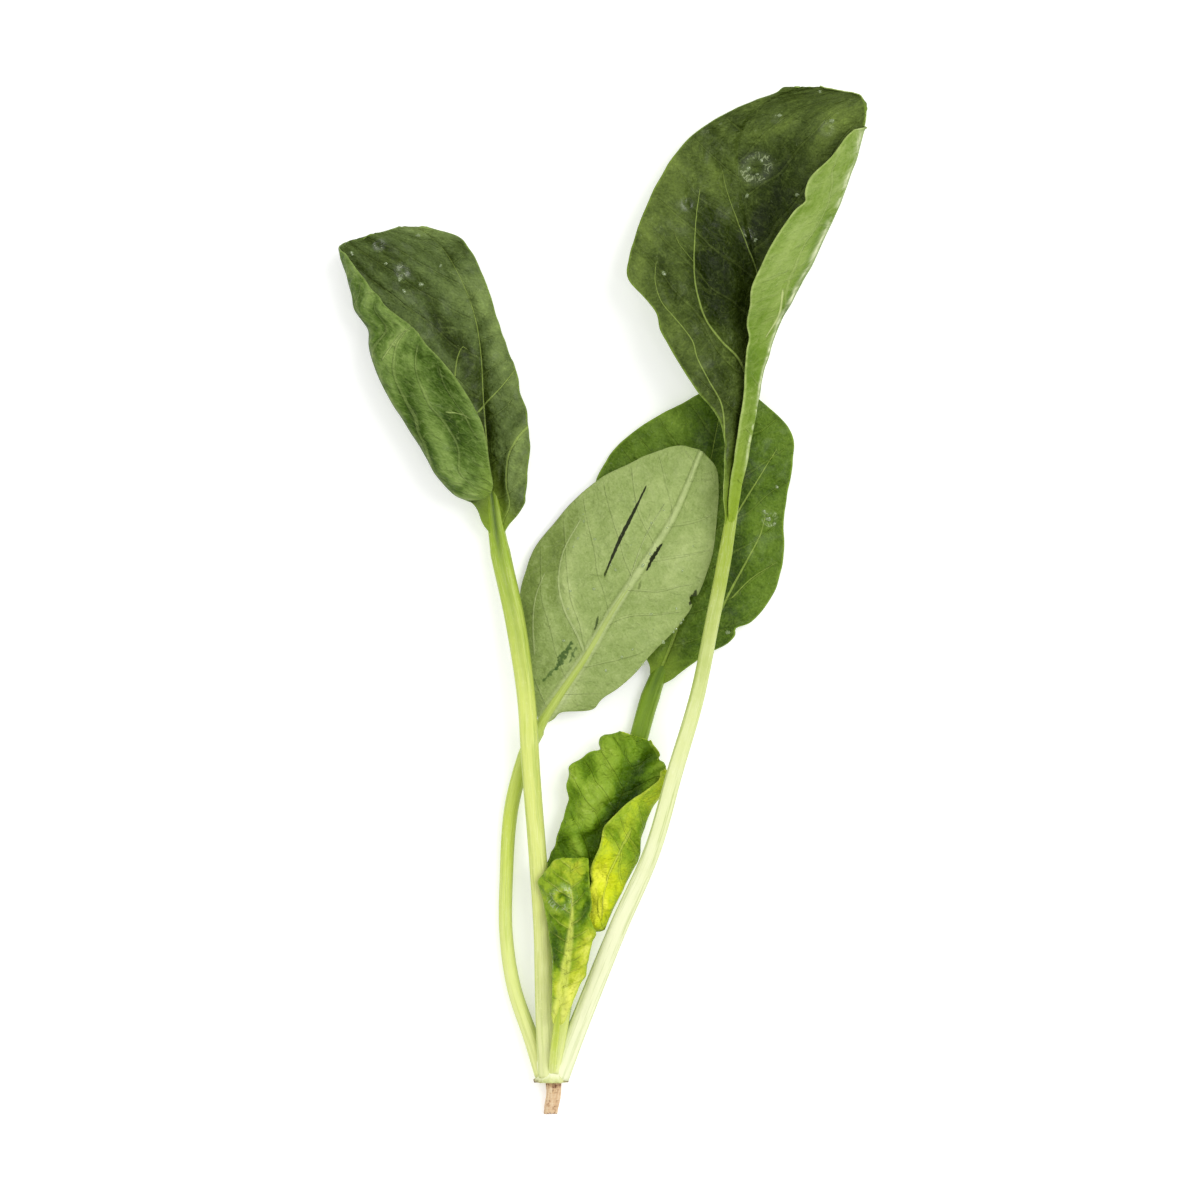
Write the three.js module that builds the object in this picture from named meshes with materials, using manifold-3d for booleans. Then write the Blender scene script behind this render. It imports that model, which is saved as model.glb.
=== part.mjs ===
// A young spinach plant, pulled whole and lying on a flat surface.
//
// Four grown leaves and two young ones fan out from one crown, with a stub of the pink tap root below it.
// Units are millimetres. The origin is the flat spot under the crown that the plant rests on, +Y runs along
// the plant towards its leaf tips, +X is to the right seen from above, and +Z is up.
//
// Each leaf has a stem, which is the stalk and the rib that carries the blade, and a blade, which is a thin
// sheet bent across the rib. Neighbouring solids keep the same small clearance everywhere.

import * as THREE from "three";
import Module from "manifold-3d";
import { mergeVertices } from "three/addons/utils/BufferGeometryUtils.js";

const wasm = await Module();
wasm.setup();

const CLEARANCE = 0.3; // between neighbouring solids
const BLADE_THICKNESS = 0.8;
const SECTION_STEPS = 24; // stretches that a blade's section is summed over
const STEM_SIDES = 12;
const STEM_STEP = 5.2; // length of one stretch of stalk
const RIB_TIP_RADIUS = 0.5;
const RIB_REACH = 0.9; // share of the blade's length that the rib runs under
const GROOVE_DEPTH = 0.16; // of the stalk's radius, along its upper side
const GROOVE_HALF_ANGLE = 0.5; // radians
const DEG = Math.PI / 180;

const CROWN_RADIUS = 3.4;
const CROWN_LENGTH = 5.6;
const CROWN_FOOT = -2.0; // along Y, where the root begins
const CROWN_SCAR_HEIGHT = 0.5; // the ring of old leaf bases that stands out round the crown's foot
const CROWN_FLAT = 0.5; // how much of the underside is pressed flat where it rests
const CROWN_AXIS_HEIGHT = CROWN_RADIUS - CROWN_FLAT;
const CROWN_SIDES = 16;

const ROOT_TOP_RADIUS = 1.7;
const ROOT_END_RADIUS = 1.4;
const ROOT_PATH = [
  [0.5, -2.6, CROWN_AXIS_HEIGHT],
  [0.4, -4.6, 2.6],
  [0.0, -6.8, 2.1],
  [-0.3, -8.8, 1.6],
];

const COLOURS = {
  root: 0xb98f70,
  crown: 0xdbe3a4,
  paleStem: 0xcfdc82,
  darkStem: 0x7f9c3a,
  upperSide: 0x2f4d1c,
  underSide: 0x8ea763,
  young: 0x6d9a2b,
};

// Each leaf, from the crown outwards.
//   stalk:   points of the stalk's centre line, the last one being where the blade begins
//   rib:     further points of that line, under the blade, to the leaf's tip
//   radii:   of the stalk at the crown, at its middle and where the blade begins
//   heading: plan angle from +Y, clockwise, of the line that the blade's rows are square to
//   at:      stations along the rib, from 0 at the blade's foot to 1 at its tip
//   left, right: one half of the blade each
//     reach: plan distance at each station from the rib to the outline, or to the crease of a folded half
//     flap:  plan width of the part folded back over, from the crease to the free edge
//     tilt:  slope in degrees beside the rib, at the foot, middle and tip of the blade
//     curl:  slope in degrees at the free edge, likewise. A folded half passes 90
//     turn:  width of lamina that the bend takes up
//   wave:    height of the waves along the free edges, and their number
//   crinkle: height of the puckers over the blade, and their spacing
//   turned:  true where the leaf lies upside down, with its rib on top
const LEAVES = {
  tall_leaf: {
    stalk: [
      [1.6, -0.6, 3.9],
      [4.3, 6.6, 4.8],
      [8.1, 16.2, 6.4],
      [14.8, 32.8, 9.6],
      [22.0, 49.3, 12.8],
      [26.7, 65.8, 14.4],
      [31.5, 82.2, 15.4],
      [34.9, 98.7, 15.6],
      [37.8, 113.9, 15.0],
    ],
    rib: [
      [40.7, 132.9, 13.0],
      [43.3, 150.0, 9.2],
      [45.0, 166.3, 5.0],
      [44.6, 177.7, 2.6],
      [42.4, 188.0, 1.2],
      [41.0, 197.5, 1.4],
      [41.4, 204.5, 2.6],
      [45.4, 210.8, 4.2],
      [54.2, 214.9, 5.4],
    ],
    radii: [2.3, 1.8, 1.5],
    heading: 0,
    at: [0, 0.09, 0.18, 0.26, 0.35, 0.47, 0.59, 0.71, 0.84, 0.93, 1],
    left: {
      reach: [1.2, 2.2, 3.4, 5.8, 14.3, 22.8, 27.7, 20.6, 10.8, 3, 2],
      tilt: [38, 30, 14],
      curl: [30, 8, 0],
    },
    right: {
      reach: [1.2, 1.3, 1.5, 1.9, 2.2, 5.3, 12.2, 20.6, 25.9, 20, 4],
      flap: [0.4, 0.5, 0.7, 1.4, 2.8, 7.3, 11.1, 9, 3, 0.8, 0.4],
      tilt: [50, 32, 16],
      curl: [165, 162, 110],
      turn: 7,
    },
    wave: [0.5, 3],
    crinkle: [0.35, 15],
    colour: "upperSide",
    stemColour: "paleStem",
  },
  creased_leaf: {
    stalk: [
      [-0.8, -0.4, 4.6],
      [-1.3, 7.5, 5.9],
      [-1.6, 16.2, 6.6],
      [-2.0, 32.8, 7.4],
      [-3.1, 49.3, 7.9],
      [-4.4, 65.8, 8.0],
      [-5.5, 82.4, 7.6],
      [-7.9, 98.7, 6.2],
      [-11.2, 113.9, 4.6],
    ],
    rib: [
      [-12.6, 123.4, 3.6],
      [-13.8, 134.8, 2.5],
      [-14.8, 147.3, 1.7],
      [-15.4, 157.5, 1.4],
      [-16.9, 166.0, 1.5],
      [-19.6, 173.0, 1.9],
      [-23.6, 179.8, 2.6],
      [-29.0, 184.6, 3.4],
    ],
    radii: [2.0, 1.95, 2.2],
    heading: 0,
    at: [0, 0.07, 0.14, 0.22, 0.35, 0.5, 0.65, 0.8, 0.92, 1],
    left: {
      reach: [2, 2.6, 6.6, 11.8, 16.5, 22.3, 24.8, 25.4, 20, 4],
      flap: [1, 2, 7.8, 12.4, 16, 16.2, 10, 4.2, 1.2, 0.4],
      tilt: [30, 14, 10],
      curl: [168, 172, 120],
      turn: 7,
    },
    right: {
      reach: [2, 3.2, 7, 8.2, 9.5, 8, 5, 5.1, 5.6, 1.4],
      tilt: [24, 12, 12],
      curl: [0, -30, -30],
    },
    wave: [0.5, 4],
    crinkle: [0.45, 12],
    colour: "upperSide",
    stemColour: "paleStem",
  },
  turned_leaf: {
    stalk: [
      [-1.9, -0.2, 3.2],
      [-4.3, 7.5, 2.8],
      [-8.2, 18.9, 2.0],
      [-9.9, 30.3, 1.8],
      [-9.9, 41.7, 1.8],
      [-8.9, 56.9, 2.2],
      [-6.1, 68.3, 3.2],
      [-3.0, 75.1, 4.8],
    ],
    rib: [
      [1.9, 82.7, 8.2],
      [7.1, 90.3, 10.2],
      [14.1, 102.1, 11.2],
      [21.1, 112.6, 11.4],
      [26.7, 121.7, 11.2],
      [32.6, 135.6, 10.4],
    ],
    radii: [1.8, 1.45, 1.5],
    heading: 31,
    at: [0, 0.07, 0.2, 0.35, 0.55, 0.74, 0.88, 1],
    left: {
      reach: [1, 4, 11.4, 19.7, 21.3, 18.6, 12.3, 2.6],
      tilt: [-14, -12, -8],
      curl: [-26, -30, -20],
    },
    right: {
      reach: [1.3, 2.6, 8.1, 11.5, 13.9, 11.4, 8, 2.9],
      tilt: [-4, -4, -2],
      curl: [-6, -4, -10],
    },
    wave: [0.25, 3],
    crinkle: [0.2, 14],
    turned: true,
    colour: "underSide",
    stemColour: "paleStem",
  },
  lowest_leaf: {
    stalk: [
      [0.7, -0.2, 2.9],
      [2.7, 15.1, 2.2],
      [7.6, 34.1, 2.1],
      [13.3, 53.1, 2.1],
      [18.2, 70.2, 2.1],
      [21.7, 82.7, 2.1],
    ],
    rib: [
      [26.6, 94.9, 2.7],
      [30.4, 106.3, 3.4],
      [33.1, 119.6, 4.0],
      [34.6, 132.9, 3.8],
      [37.9, 149.8, 2.6],
    ],
    radii: [1.9, 1.7, 2.0],
    heading: 13.6,
    at: [0, 0.1, 0.25, 0.4, 0.57, 0.7, 0.82, 0.92, 1],
    left: {
      reach: [1.6, 5.6, 15.6, 21.3, 24.7, 22, 15.8, 8.5, 1.6],
      tilt: [-4, -6, -4],
      curl: [-10, -10, -8],
    },
    right: {
      reach: [1.6, 4.6, 12.8, 17.9, 18.3, 17.7, 17.5, 15.5, 6],
      tilt: [-6, -8, -6],
      curl: [-14, -16, -10],
    },
    wave: [0.5, 4],
    crinkle: [0.3, 13],
    colour: "upperSide",
    stemColour: "darkStem",
  },
  young_leaf: {
    stalk: [
      [0.6, 0.4, 5.6],
      [2.7, 11.3, 6.8],
      [4.4, 22.7, 6.2],
      [7.4, 31.1, 5.6],
    ],
    rib: [
      [9.0, 39.0, 5.3],
      [10.8, 48.2, 5.3],
      [13.8, 56.5, 5.6],
      [16.6, 64.1, 6.0],
      [18.2, 70.0, 6.4],
      [18.7, 73.6, 6.8],
    ],
    radii: [1.2, 1.1, 1.0],
    heading: 18,
    at: [0, 0.1, 0.2, 0.35, 0.5, 0.7, 0.85, 1],
    left: {
      reach: [2.4, 6.6, 10, 10.9, 10.7, 12.5, 10.2, 4],
      tilt: [8, 14, 10],
      curl: [-20, -34, -30],
    },
    right: {
      reach: [3.2, 4.5, 5.7, 6.8, 6.8, 6.5, 6.6, 2.6],
      flap: [2.6, 4.2, 6, 7.8, 7.5, 3.5, 1, 0.4],
      tilt: [10, 8, 6],
      curl: [168, 168, 120],
      turn: 4,
    },
    wave: [0.7, 5],
    crinkle: [0.7, 7],
    colour: "young",
    stemColour: "paleStem",
  },
  youngest_leaf: {
    stalk: [
      [0.2, 0.6, 7.6],
      [1.2, 10.5, 9.9],
    ],
    rib: [
      [2.7, 20.8, 11.0],
      [4.0, 29.5, 11.6],
      [4.6, 37.9, 12.0],
      [4.2, 43.2, 12.0],
      [4.6, 47.4, 12.0],
    ],
    radii: [0.9, 0.85, 0.8],
    heading: 0,
    at: [0, 0.15, 0.35, 0.6, 0.8, 0.92, 1],
    left: {
      reach: [0.8, 1.8, 3, 5.4, 6.9, 5.4, 1.6],
      tilt: [20, 18, 10],
      curl: [0, -50, -40],
    },
    right: {
      reach: [1.1, 2.8, 4.8, 4.8, 4.2, 4.3, 2.4],
      tilt: [16, 12, 10],
      curl: [-10, -30, -30],
    },
    wave: [0.6, 5],
    crinkle: [0.6, 5],
    colour: "young",
    stemColour: "paleStem",
  },
};

/** Cubic through the points (xs, ys), with each slope taken from its two neighbours. */
function along(xs, ys, x) {
  let k = 0;
  while (k < xs.length - 2 && x > xs[k + 1]) k++;
  const slope = (i) => {
    const a = Math.max(i - 1, 0);
    const b = Math.min(i + 1, xs.length - 1);
    return (ys[b] - ys[a]) / (xs[b] - xs[a]);
  };
  const h = xs[k + 1] - xs[k];
  const t = (x - xs[k]) / h;
  const t2 = t * t;
  const t3 = t2 * t;
  return (
    (2 * t3 - 3 * t2 + 1) * ys[k] +
    (t3 - 2 * t2 + t) * h * slope(k) +
    (3 * t2 - 2 * t3) * ys[k + 1] +
    (t3 - t2) * h * slope(k + 1)
  );
}

/** A value given at the foot, middle and tip, at the share v of the way. */
const threeWay = (values, v) => along([0, 0.5, 1], values, v);

const smoothstep = (a, b, x) => {
  const t = Math.min(Math.max((x - a) / (b - a), 0), 1);
  return t * t * (3 - 2 * t);
};

/** The line through the points, as a function of the length along it. */
function line(points) {
  const lengths = [0];
  for (let i = 1; i < points.length; i++) {
    lengths.push(lengths[i - 1] + Math.hypot(...points[i].map((c, k) => c - points[i - 1][k])));
  }
  const at = (s) => new THREE.Vector3(...[0, 1, 2].map((k) => along(lengths, points.map((p) => p[k]), s)));
  return { at, lengths, length: lengths.at(-1) };
}

/** The stalk's line and the rib's line are one: this says how long it is and where the blade begins. */
function leafLine(leaf) {
  const whole = line([...leaf.stalk, ...leaf.rib]);
  return { ...whole, foot: whole.lengths[leaf.stalk.length - 1] };
}

/** Radius of the stalk or rib at the length s. */
function stemRadius(leaf, spine, s) {
  if (s <= spine.foot) return threeWay(leaf.radii, s / spine.foot);
  const share = Math.min((s - spine.foot) / ((spine.length - spine.foot) * RIB_REACH), 1);
  return leaf.radii[2] + (RIB_TIP_RADIUS - leaf.radii[2]) * Math.pow(share, 0.6);
}

/** A closed body skinned over rings of equally many points, with a flat fan over each end. */
function skin(rings) {
  const n = rings[0].length;
  const positions = rings.flat().flatMap((p) => [p.x, p.y, p.z]);
  const faces = [];
  for (let i = 0; i < rings.length - 1; i++) {
    for (let j = 0; j < n; j++) {
      const a = i * n + j;
      const b = i * n + ((j + 1) % n);
      faces.push(a, b + n, b, a, a + n, b + n);
    }
  }
  [rings[0], rings.at(-1)].forEach((ring, end) => {
    const centre = ring.reduce((sum, p) => sum.add(p), new THREE.Vector3()).divideScalar(n);
    const hub = positions.length / 3;
    positions.push(centre.x, centre.y, centre.z);
    const first = end ? (rings.length - 1) * n : 0;
    for (let j = 0; j < n; j++) {
      const a = first + j;
      const b = first + ((j + 1) % n);
      faces.push(...(end ? [hub, b, a] : [hub, a, b]));
    }
  });
  return asGeometry(positions, faces);
}

function asGeometry(positions, faces) {
  return new THREE.BufferGeometry()
    .setAttribute("position", new THREE.Float32BufferAttribute(positions, 3))
    .setIndex(faces);
}

/** The stalk and rib of a leaf, grown by the given margin when it serves as a cutter. */
function stemGeometry(leaf, margin = 0) {
  const spine = leafLine(leaf);
  const end = spine.foot + (spine.length - spine.foot) * RIB_REACH;
  const steps = Math.round(end / STEM_STEP);
  const rings = [];
  for (let i = 0; i <= steps; i++) {
    const s = (end * i) / steps;
    const centre = spine.at(s);
    const forward = spine.at(Math.min(s + 0.5, end)).sub(spine.at(Math.max(s - 0.5, 0))).normalize();
    const side = new THREE.Vector3(forward.y, -forward.x, 0).normalize();
    const up = side.clone().cross(forward);
    const radius = stemRadius(leaf, spine, s);
    const groove = s <= spine.foot && !margin ? GROOVE_DEPTH : 0;
    const ring = [];
    for (let j = 0; j < STEM_SIDES; j++) {
      const angle = (2 * Math.PI * j) / STEM_SIDES;
      const fromTop = Math.abs(angle - (leaf.turned ? 1.5 : 0.5) * Math.PI) / GROOVE_HALF_ANGLE;
      const r = radius * (1 - groove * Math.exp(-fromTop * fromTop)) + margin;
      ring.push(
        centre
          .clone()
          .addScaledVector(side, r * Math.cos(angle))
          .addScaledVector(up, r * Math.sin(angle)),
      );
    }
    rings.push(ring);
  }
  return skin(rings);
}

/**
 * Plan distance, height and slope of the sheet across one half of a blade, at the share q of its width.
 * The slope turns from the tilt to the curl over the width `turn`, centred on the crease, and the section
 * is that slope summed over the lamina. A folded half has its crease at q = 0.5, with q crowded round it.
 */
function crossSection(half, at, v, q) {
  const reach = along(at, half.reach, v);
  const tilt = threeWay(half.tilt, v) * DEG;
  const curl = threeWay(half.curl, v) * DEG;
  const folded = half.flap !== undefined;
  const flap = folded ? Math.max(along(at, half.flap, v), 0) : 0;
  const turn = folded ? Math.min(half.turn, 1.2 * reach) : 1.2 * reach;
  const crease = folded ? reach / Math.cos(tilt) + 0.12 * turn : 0.6 * reach;
  const width = folded ? crease + flap + 0.2 * turn : reach / Math.cos((tilt + curl) / 2);
  let out = q * width;
  if (folded) {
    out = q < 0.5 ? crease * (1 - (1 - 2 * q) ** 1.6) : crease + (width - crease) * (2 * q - 1) ** 1.4;
  }
  const slopeAt = (s) => tilt + (curl - tilt) * smoothstep(crease - turn / 2, crease + turn / 2, s);
  const step = out / SECTION_STEPS;
  let across = 0;
  let rise = 0;
  for (let i = 0; i < SECTION_STEPS; i++) {
    const slope = slopeAt((i + 0.5) * step);
    across += Math.cos(slope) * step;
    rise += Math.sin(slope) * step;
  }
  return { across, rise, slope: slopeAt(out) };
}

/** The blade's middle surface: v runs from its foot to its tip, and u from -1 at the left edge to 1. */
function bladePoint(leaf, spine, v, u) {
  const s = spine.foot + v * (spine.length - spine.foot);
  const rib = spine.at(s);
  const half = u < 0 ? leaf.left : leaf.right;
  const { across, rise, slope } = crossSection(half, leaf.at, v, Math.abs(u));
  const offset = stemRadius(leaf, spine, s) + CLEARANCE + BLADE_THICKNESS / 2;
  const heading = leaf.heading * DEG;
  const sideways = Math.sign(u) * across;
  const [waveHeight, waves] = leaf.wave;
  const wave = waveHeight * Math.min(1, 8 * v) * u * u * Math.sin(2 * Math.PI * waves * v + (u < 0 ? 0 : 2));
  const [crinkleHeight, spacing] = leaf.crinkle;
  const crinkle =
    crinkleHeight *
    Math.min(1, 3 * Math.abs(u)) *
    Math.cos(slope) ** 2 *
    Math.sin((2 * Math.PI * s) / spacing + 1.3 * u) *
    Math.cos((2 * Math.PI * across) / spacing);
  const height = rib.z + (leaf.turned ? -offset : offset) + rise + wave + crinkle;
  return new THREE.Vector3(
    rib.x + sideways * Math.cos(heading),
    rib.y - sideways * Math.sin(heading),
    Math.max(height, BLADE_THICKNESS / 2),
  );
}

/** A blade: its middle surface given thickness, with both faces split into triangles alike. */
function bladeGeometry(leaf) {
  const spine = leafLine(leaf);
  const length = spine.length - spine.foot;
  const rows = Math.round(length / 3.1) + 3;
  const widest = (half) => Math.max(...half.reach.map((r, i) => r + (half.flap ? half.flap[i] + half.turn / 3 : 0)));
  const columnsOf = (half) => Math.max(4, Math.round(widest(half) / (half.flap ? 2.2 : 3.0)));
  const nLeft = columnsOf(leaf.left);
  const nRight = columnsOf(leaf.right);
  const us = [];
  for (let j = -nLeft; j <= nRight; j++) us.push(j < 0 ? j / nLeft : j / nRight);
  const vs = Array.from({ length: rows + 1 }, (_, i) => Math.pow(i / rows, 0.93));
  const n = us.length;
  const middle = vs.map((v) => us.map((u) => bladePoint(leaf, spine, v, u)));
  const normalAt = (i, j) => {
    const pick = (a, b) => middle[Math.min(Math.max(a, 0), rows)][Math.min(Math.max(b, 0), n - 1)];
    const down = pick(i + 1, j).clone().sub(pick(i - 1, j));
    const over = pick(i, j + 1).clone().sub(pick(i, j - 1));
    return over.cross(down).normalize();
  };
  const upper = [];
  const lower = [];
  for (let i = 0; i <= rows; i++) {
    for (let j = 0; j < n; j++) {
      const normal = normalAt(i, j).multiplyScalar(BLADE_THICKNESS / 2);
      upper.push(middle[i][j].clone().add(normal));
      lower.push(middle[i][j].clone().sub(normal));
    }
  }
  const count = upper.length;
  const positions = [...upper, ...lower].flatMap((p) => [p.x, p.y, Math.max(p.z, 0)]);
  const faces = [];
  const quad = (a, b, c, d) => faces.push(a, b, c, a, c, d);
  for (let i = 0; i < rows; i++) {
    for (let j = 0; j < n - 1; j++) {
      const a = i * n + j;
      quad(a, a + 1, a + n + 1, a + n);
      faces.push(count + a, count + a + n + 1, count + a + 1);
      faces.push(count + a, count + a + n, count + a + n + 1);
    }
    const l = i * n;
    const r = l + n - 1;
    quad(l, l + n, count + l + n, count + l);
    quad(r + n, r, count + r, count + r + n);
  }
  for (let j = 0; j < n - 1; j++) {
    const t = rows * n + j;
    quad(j + 1, j, count + j, count + j + 1);
    quad(t, t + 1, count + t + 1, count + t);
  }
  return asGeometry(positions, faces);
}

/** A closed geometry as a solid that can be joined and cut. */
function solid(geometry) {
  const merged = mergeVertices(geometry, 1e-4);
  return new wasm.Manifold(
    new wasm.Mesh({
      numProp: 3,
      vertProperties: new Float32Array(merged.attributes.position.array),
      triVerts: new Uint32Array(merged.index.array),
    }),
  );
}

/** The largest body of a solid as a geometry: what a cut leaves as a loose scrap is dropped. */
function geometryOf(shape) {
  const bodies = shape.decompose();
  const largest = bodies.reduce((a, b) => (a.volume() > b.volume() ? a : b));
  const mesh = largest.getMesh();
  const positions = [];
  for (let i = 0; i < mesh.numVert; i++) {
    positions.push(...mesh.vertProperties.subarray(i * mesh.numProp, i * mesh.numProp + 3));
  }
  return asGeometry(positions, [...mesh.triVerts]);
}

/**
 * The crown: a short barrel along +Y with a ring of old leaf bases at its foot, flat where it rests. It is
 * turned by half a side, so that one flat face is level under the origin.
 */
function crownGeometry() {
  const lip = 1 + CROWN_SCAR_HEIGHT / CROWN_RADIUS;
  const profile = [
    [0, 0],
    [0.55, 0],
    [lip, 0.1],
    [lip, 0.2],
    [0.97, 0.32],
    [1, 0.6],
    [1.04, 0.85],
    [0.9, 1],
    [0, 1],
  ].map(([r, y]) => new THREE.Vector2(r * CROWN_RADIUS, CROWN_FOOT + y * CROWN_LENGTH));
  const barrel = new THREE.LatheGeometry(profile, CROWN_SIDES, Math.PI / CROWN_SIDES);
  barrel.deleteAttribute("normal");
  barrel.deleteAttribute("uv");
  const positions = barrel.attributes.position;
  for (let i = 0; i < positions.count; i++) {
    const z = Math.max(positions.getZ(i) + CROWN_AXIS_HEIGHT, 0);
    positions.setZ(i, z);
  }
  return barrel;
}

/** The stub of tap root, tapering away from the crown. */
function rootGeometry() {
  const path = line(ROOT_PATH);
  const rings = [];
  const steps = 6;
  for (let i = 0; i <= steps; i++) {
    const share = i / steps;
    const centre = path.at(share * path.length);
    const radius = ROOT_TOP_RADIUS + (ROOT_END_RADIUS - ROOT_TOP_RADIUS) * share;
    const ring = [];
    for (let j = 0; j < STEM_SIDES; j++) {
      const angle = (2 * Math.PI * j) / STEM_SIDES;
      const ridge = radius * (1 + 0.08 * Math.sin(3 * angle + share));
      ring.push(
        new THREE.Vector3(
          centre.x - ridge * Math.cos(angle),
          centre.y,
          Math.max(centre.z + ridge * Math.sin(angle), 0),
        ),
      );
    }
    rings.push(ring);
  }
  return skin(rings);
}

const plant = new THREE.Group();

function addPart(name, geometry, colour, roughness) {
  const material = new THREE.MeshStandardMaterial({ color: COLOURS[colour], roughness, metalness: 0 });
  const mesh = new THREE.Mesh(geometry, material);
  mesh.name = name;
  plant.add(mesh);
}

// Stalks crowd together at the crown: each is cut back from those before it, and the crown from them all.
let crown = solid(crownGeometry());
const settled = [];
for (const [name, leaf] of Object.entries(LEAVES)) {
  let stem = solid(stemGeometry(leaf));
  for (const earlier of settled) stem = stem.subtract(earlier);
  const cutter = solid(stemGeometry(leaf, CLEARANCE));
  settled.push(cutter);
  crown = crown.subtract(cutter);
  addPart(`${name}_stem`, geometryOf(stem), leaf.stemColour, 0.45);
  addPart(`${name}_blade`, bladeGeometry(leaf), leaf.colour, 0.5);
}
addPart("crown", geometryOf(crown), "crown", 0.5);
addPart("root_stub", rootGeometry(), "root", 0.8);

export default plant;
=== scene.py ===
"""A young spinach plant, pulled whole and lying flat: its looks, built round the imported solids.

Four grown leaves, two young ones, the crown and the stub of tap root are each rebuilt as fine surfaces that
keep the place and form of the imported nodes, with veins, puckers, creases, slits and drops of water added.
Lengths inside the classes are millimetres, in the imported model's frame, and become metres in Maker.
"""
import logging
from dataclasses import dataclass, field, replace
from enum import Enum
from typing import Any, Sequence, Union

import bpy
import numpy as np
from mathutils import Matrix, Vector


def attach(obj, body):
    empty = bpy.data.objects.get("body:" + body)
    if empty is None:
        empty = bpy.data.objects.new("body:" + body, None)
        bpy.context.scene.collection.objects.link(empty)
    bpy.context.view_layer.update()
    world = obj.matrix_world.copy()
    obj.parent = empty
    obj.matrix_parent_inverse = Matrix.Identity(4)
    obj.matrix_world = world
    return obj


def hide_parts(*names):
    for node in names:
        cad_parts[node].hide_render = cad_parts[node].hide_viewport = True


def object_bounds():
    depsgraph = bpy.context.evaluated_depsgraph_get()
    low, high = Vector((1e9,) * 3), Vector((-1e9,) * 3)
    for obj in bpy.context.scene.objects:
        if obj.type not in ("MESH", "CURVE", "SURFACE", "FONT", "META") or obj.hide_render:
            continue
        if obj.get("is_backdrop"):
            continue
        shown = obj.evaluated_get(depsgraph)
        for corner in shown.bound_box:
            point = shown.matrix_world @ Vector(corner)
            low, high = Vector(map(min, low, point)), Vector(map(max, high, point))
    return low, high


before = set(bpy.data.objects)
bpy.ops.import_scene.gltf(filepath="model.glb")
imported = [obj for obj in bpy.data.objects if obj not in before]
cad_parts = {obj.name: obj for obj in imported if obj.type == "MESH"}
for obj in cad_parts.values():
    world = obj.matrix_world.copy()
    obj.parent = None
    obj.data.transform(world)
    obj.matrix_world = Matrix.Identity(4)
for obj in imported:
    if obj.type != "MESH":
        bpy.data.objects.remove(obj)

Array = np.ndarray
Named = dict[str, Array]
Pair = tuple[float, float]
Trio = tuple[float, float, float]
Points = tuple[tuple[float, ...], ...]
Number = Union[float, "Value"]
Thing = bpy.types.Object
Material = bpy.types.Material

MM = 0.001
DEG = np.pi / 180
TINY = 1e-12  # keeps a vector of no length from dividing by nothing
LEAST_STEP = 1e-9  # the same for a stretch of a line, mm
FAR = 1e9  # past any length here
BODY = "root"
WHITE = (1.0, 1.0, 1.0, 1.0)
BOX_INSET = 0.02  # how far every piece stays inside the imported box, mm
SURFACE_GAP = 0.03  # how far leaves and stalks stay over the surface that they lie on, mm
TURN_X, TURN_Y, TURN_SEED = 127.1, 311.7, 74.7  # how fast the scattering sine turns with each number
SINE_SIZE = 43758.5453  # so large that the sine's loose digits are scattered
MARKS_PER_POINT = 6  # straight stretches that a drawn line is measured with, for each of its points
TONE_PLACES = (0.0, 0.27, 0.5, 0.76, 1.0)  # where a blade's five tones stand on its level
STALK_PLACES = (0.0, 0.25, 0.52, 0.74, 1.0)  # where a stalk's five colours stand along it
THREE_PLACES = (0.0, 0.5, 1.0)  # where three values stand along a piece
log = logging.getLogger("spinach")


# ---- numbers


def along(knots: Array, values: Array, x: Array) -> Array:
    """Cubic through the knots, whose slope at each knot is that of the line through its two neighbours.

    Args:
        knots: places of the knots, rising.
        values: the values there, one number or one row each.
        x: places to read the curve at.

    Returns:
        The curve's values, shaped as x, with the row's length added where values are rows.
    """
    knots, values, x = np.asarray(knots, float), np.asarray(values, float), np.asarray(x, float)
    k = np.searchsorted(knots[1:-1], x, side="left")
    before = np.maximum(np.arange(len(knots)) - 1, 0)
    after = np.minimum(np.arange(len(knots)) + 1, len(knots) - 1)
    gap = knots[after] - knots[before]
    rows = values.ndim > 1
    slopes = (values[after] - values[before]) / (gap[:, None] if rows else gap)
    h = knots[k + 1] - knots[k]
    t = (x - knots[k]) / h
    if rows:
        h, t = h[..., None], t[..., None]
    return (
        (2 * t**3 - 3 * t**2 + 1) * values[k]
        + (t**3 - 2 * t**2 + t) * h * slopes[k]
        + (3 * t**2 - 2 * t**3) * values[k + 1]
        + (t**3 - t**2) * h * slopes[k + 1]
    )


def three_way(values: Sequence[float], v: Array) -> Array:
    """A value given at the foot, middle and tip, read at the share v of the way."""
    return along(THREE_PLACES, values, v)


def smoothstep(a: Any, b: Any, x: Array) -> Array:
    """0 below a, 1 above b, and three t squared less two t cubed between them."""
    t = np.clip((x - a) / (b - a), 0, 1)
    return t * t * (3 - 2 * t)


def bell(x: Array, half: Any, middle: float = 0.0) -> Array:
    """1 at the middle, falling as e to the minus squared distance from it, in half breadths."""
    return np.exp(-(((x - middle) / half) ** 2))


def unit(vectors: Array) -> Array:
    """The vectors, held along the last axis, brought to length 1."""
    return vectors / (np.linalg.norm(vectors, axis=-1, keepdims=True) + TINY)


def round_angles(sides: int) -> Array:
    """The angles of the places round a ring, in one row."""
    return (2 * np.pi * np.arange(sides) / sides)[None, :]


def scatter(x: Array, y: Array, seed: float) -> Array:
    """A number from 0 to 1 for each pair of whole numbers: the loose digits of a large sine of their mix."""
    h = np.sin(x * TURN_X + y * TURN_Y + seed * TURN_SEED) * SINE_SIZE
    return h - np.floor(h)


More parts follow.
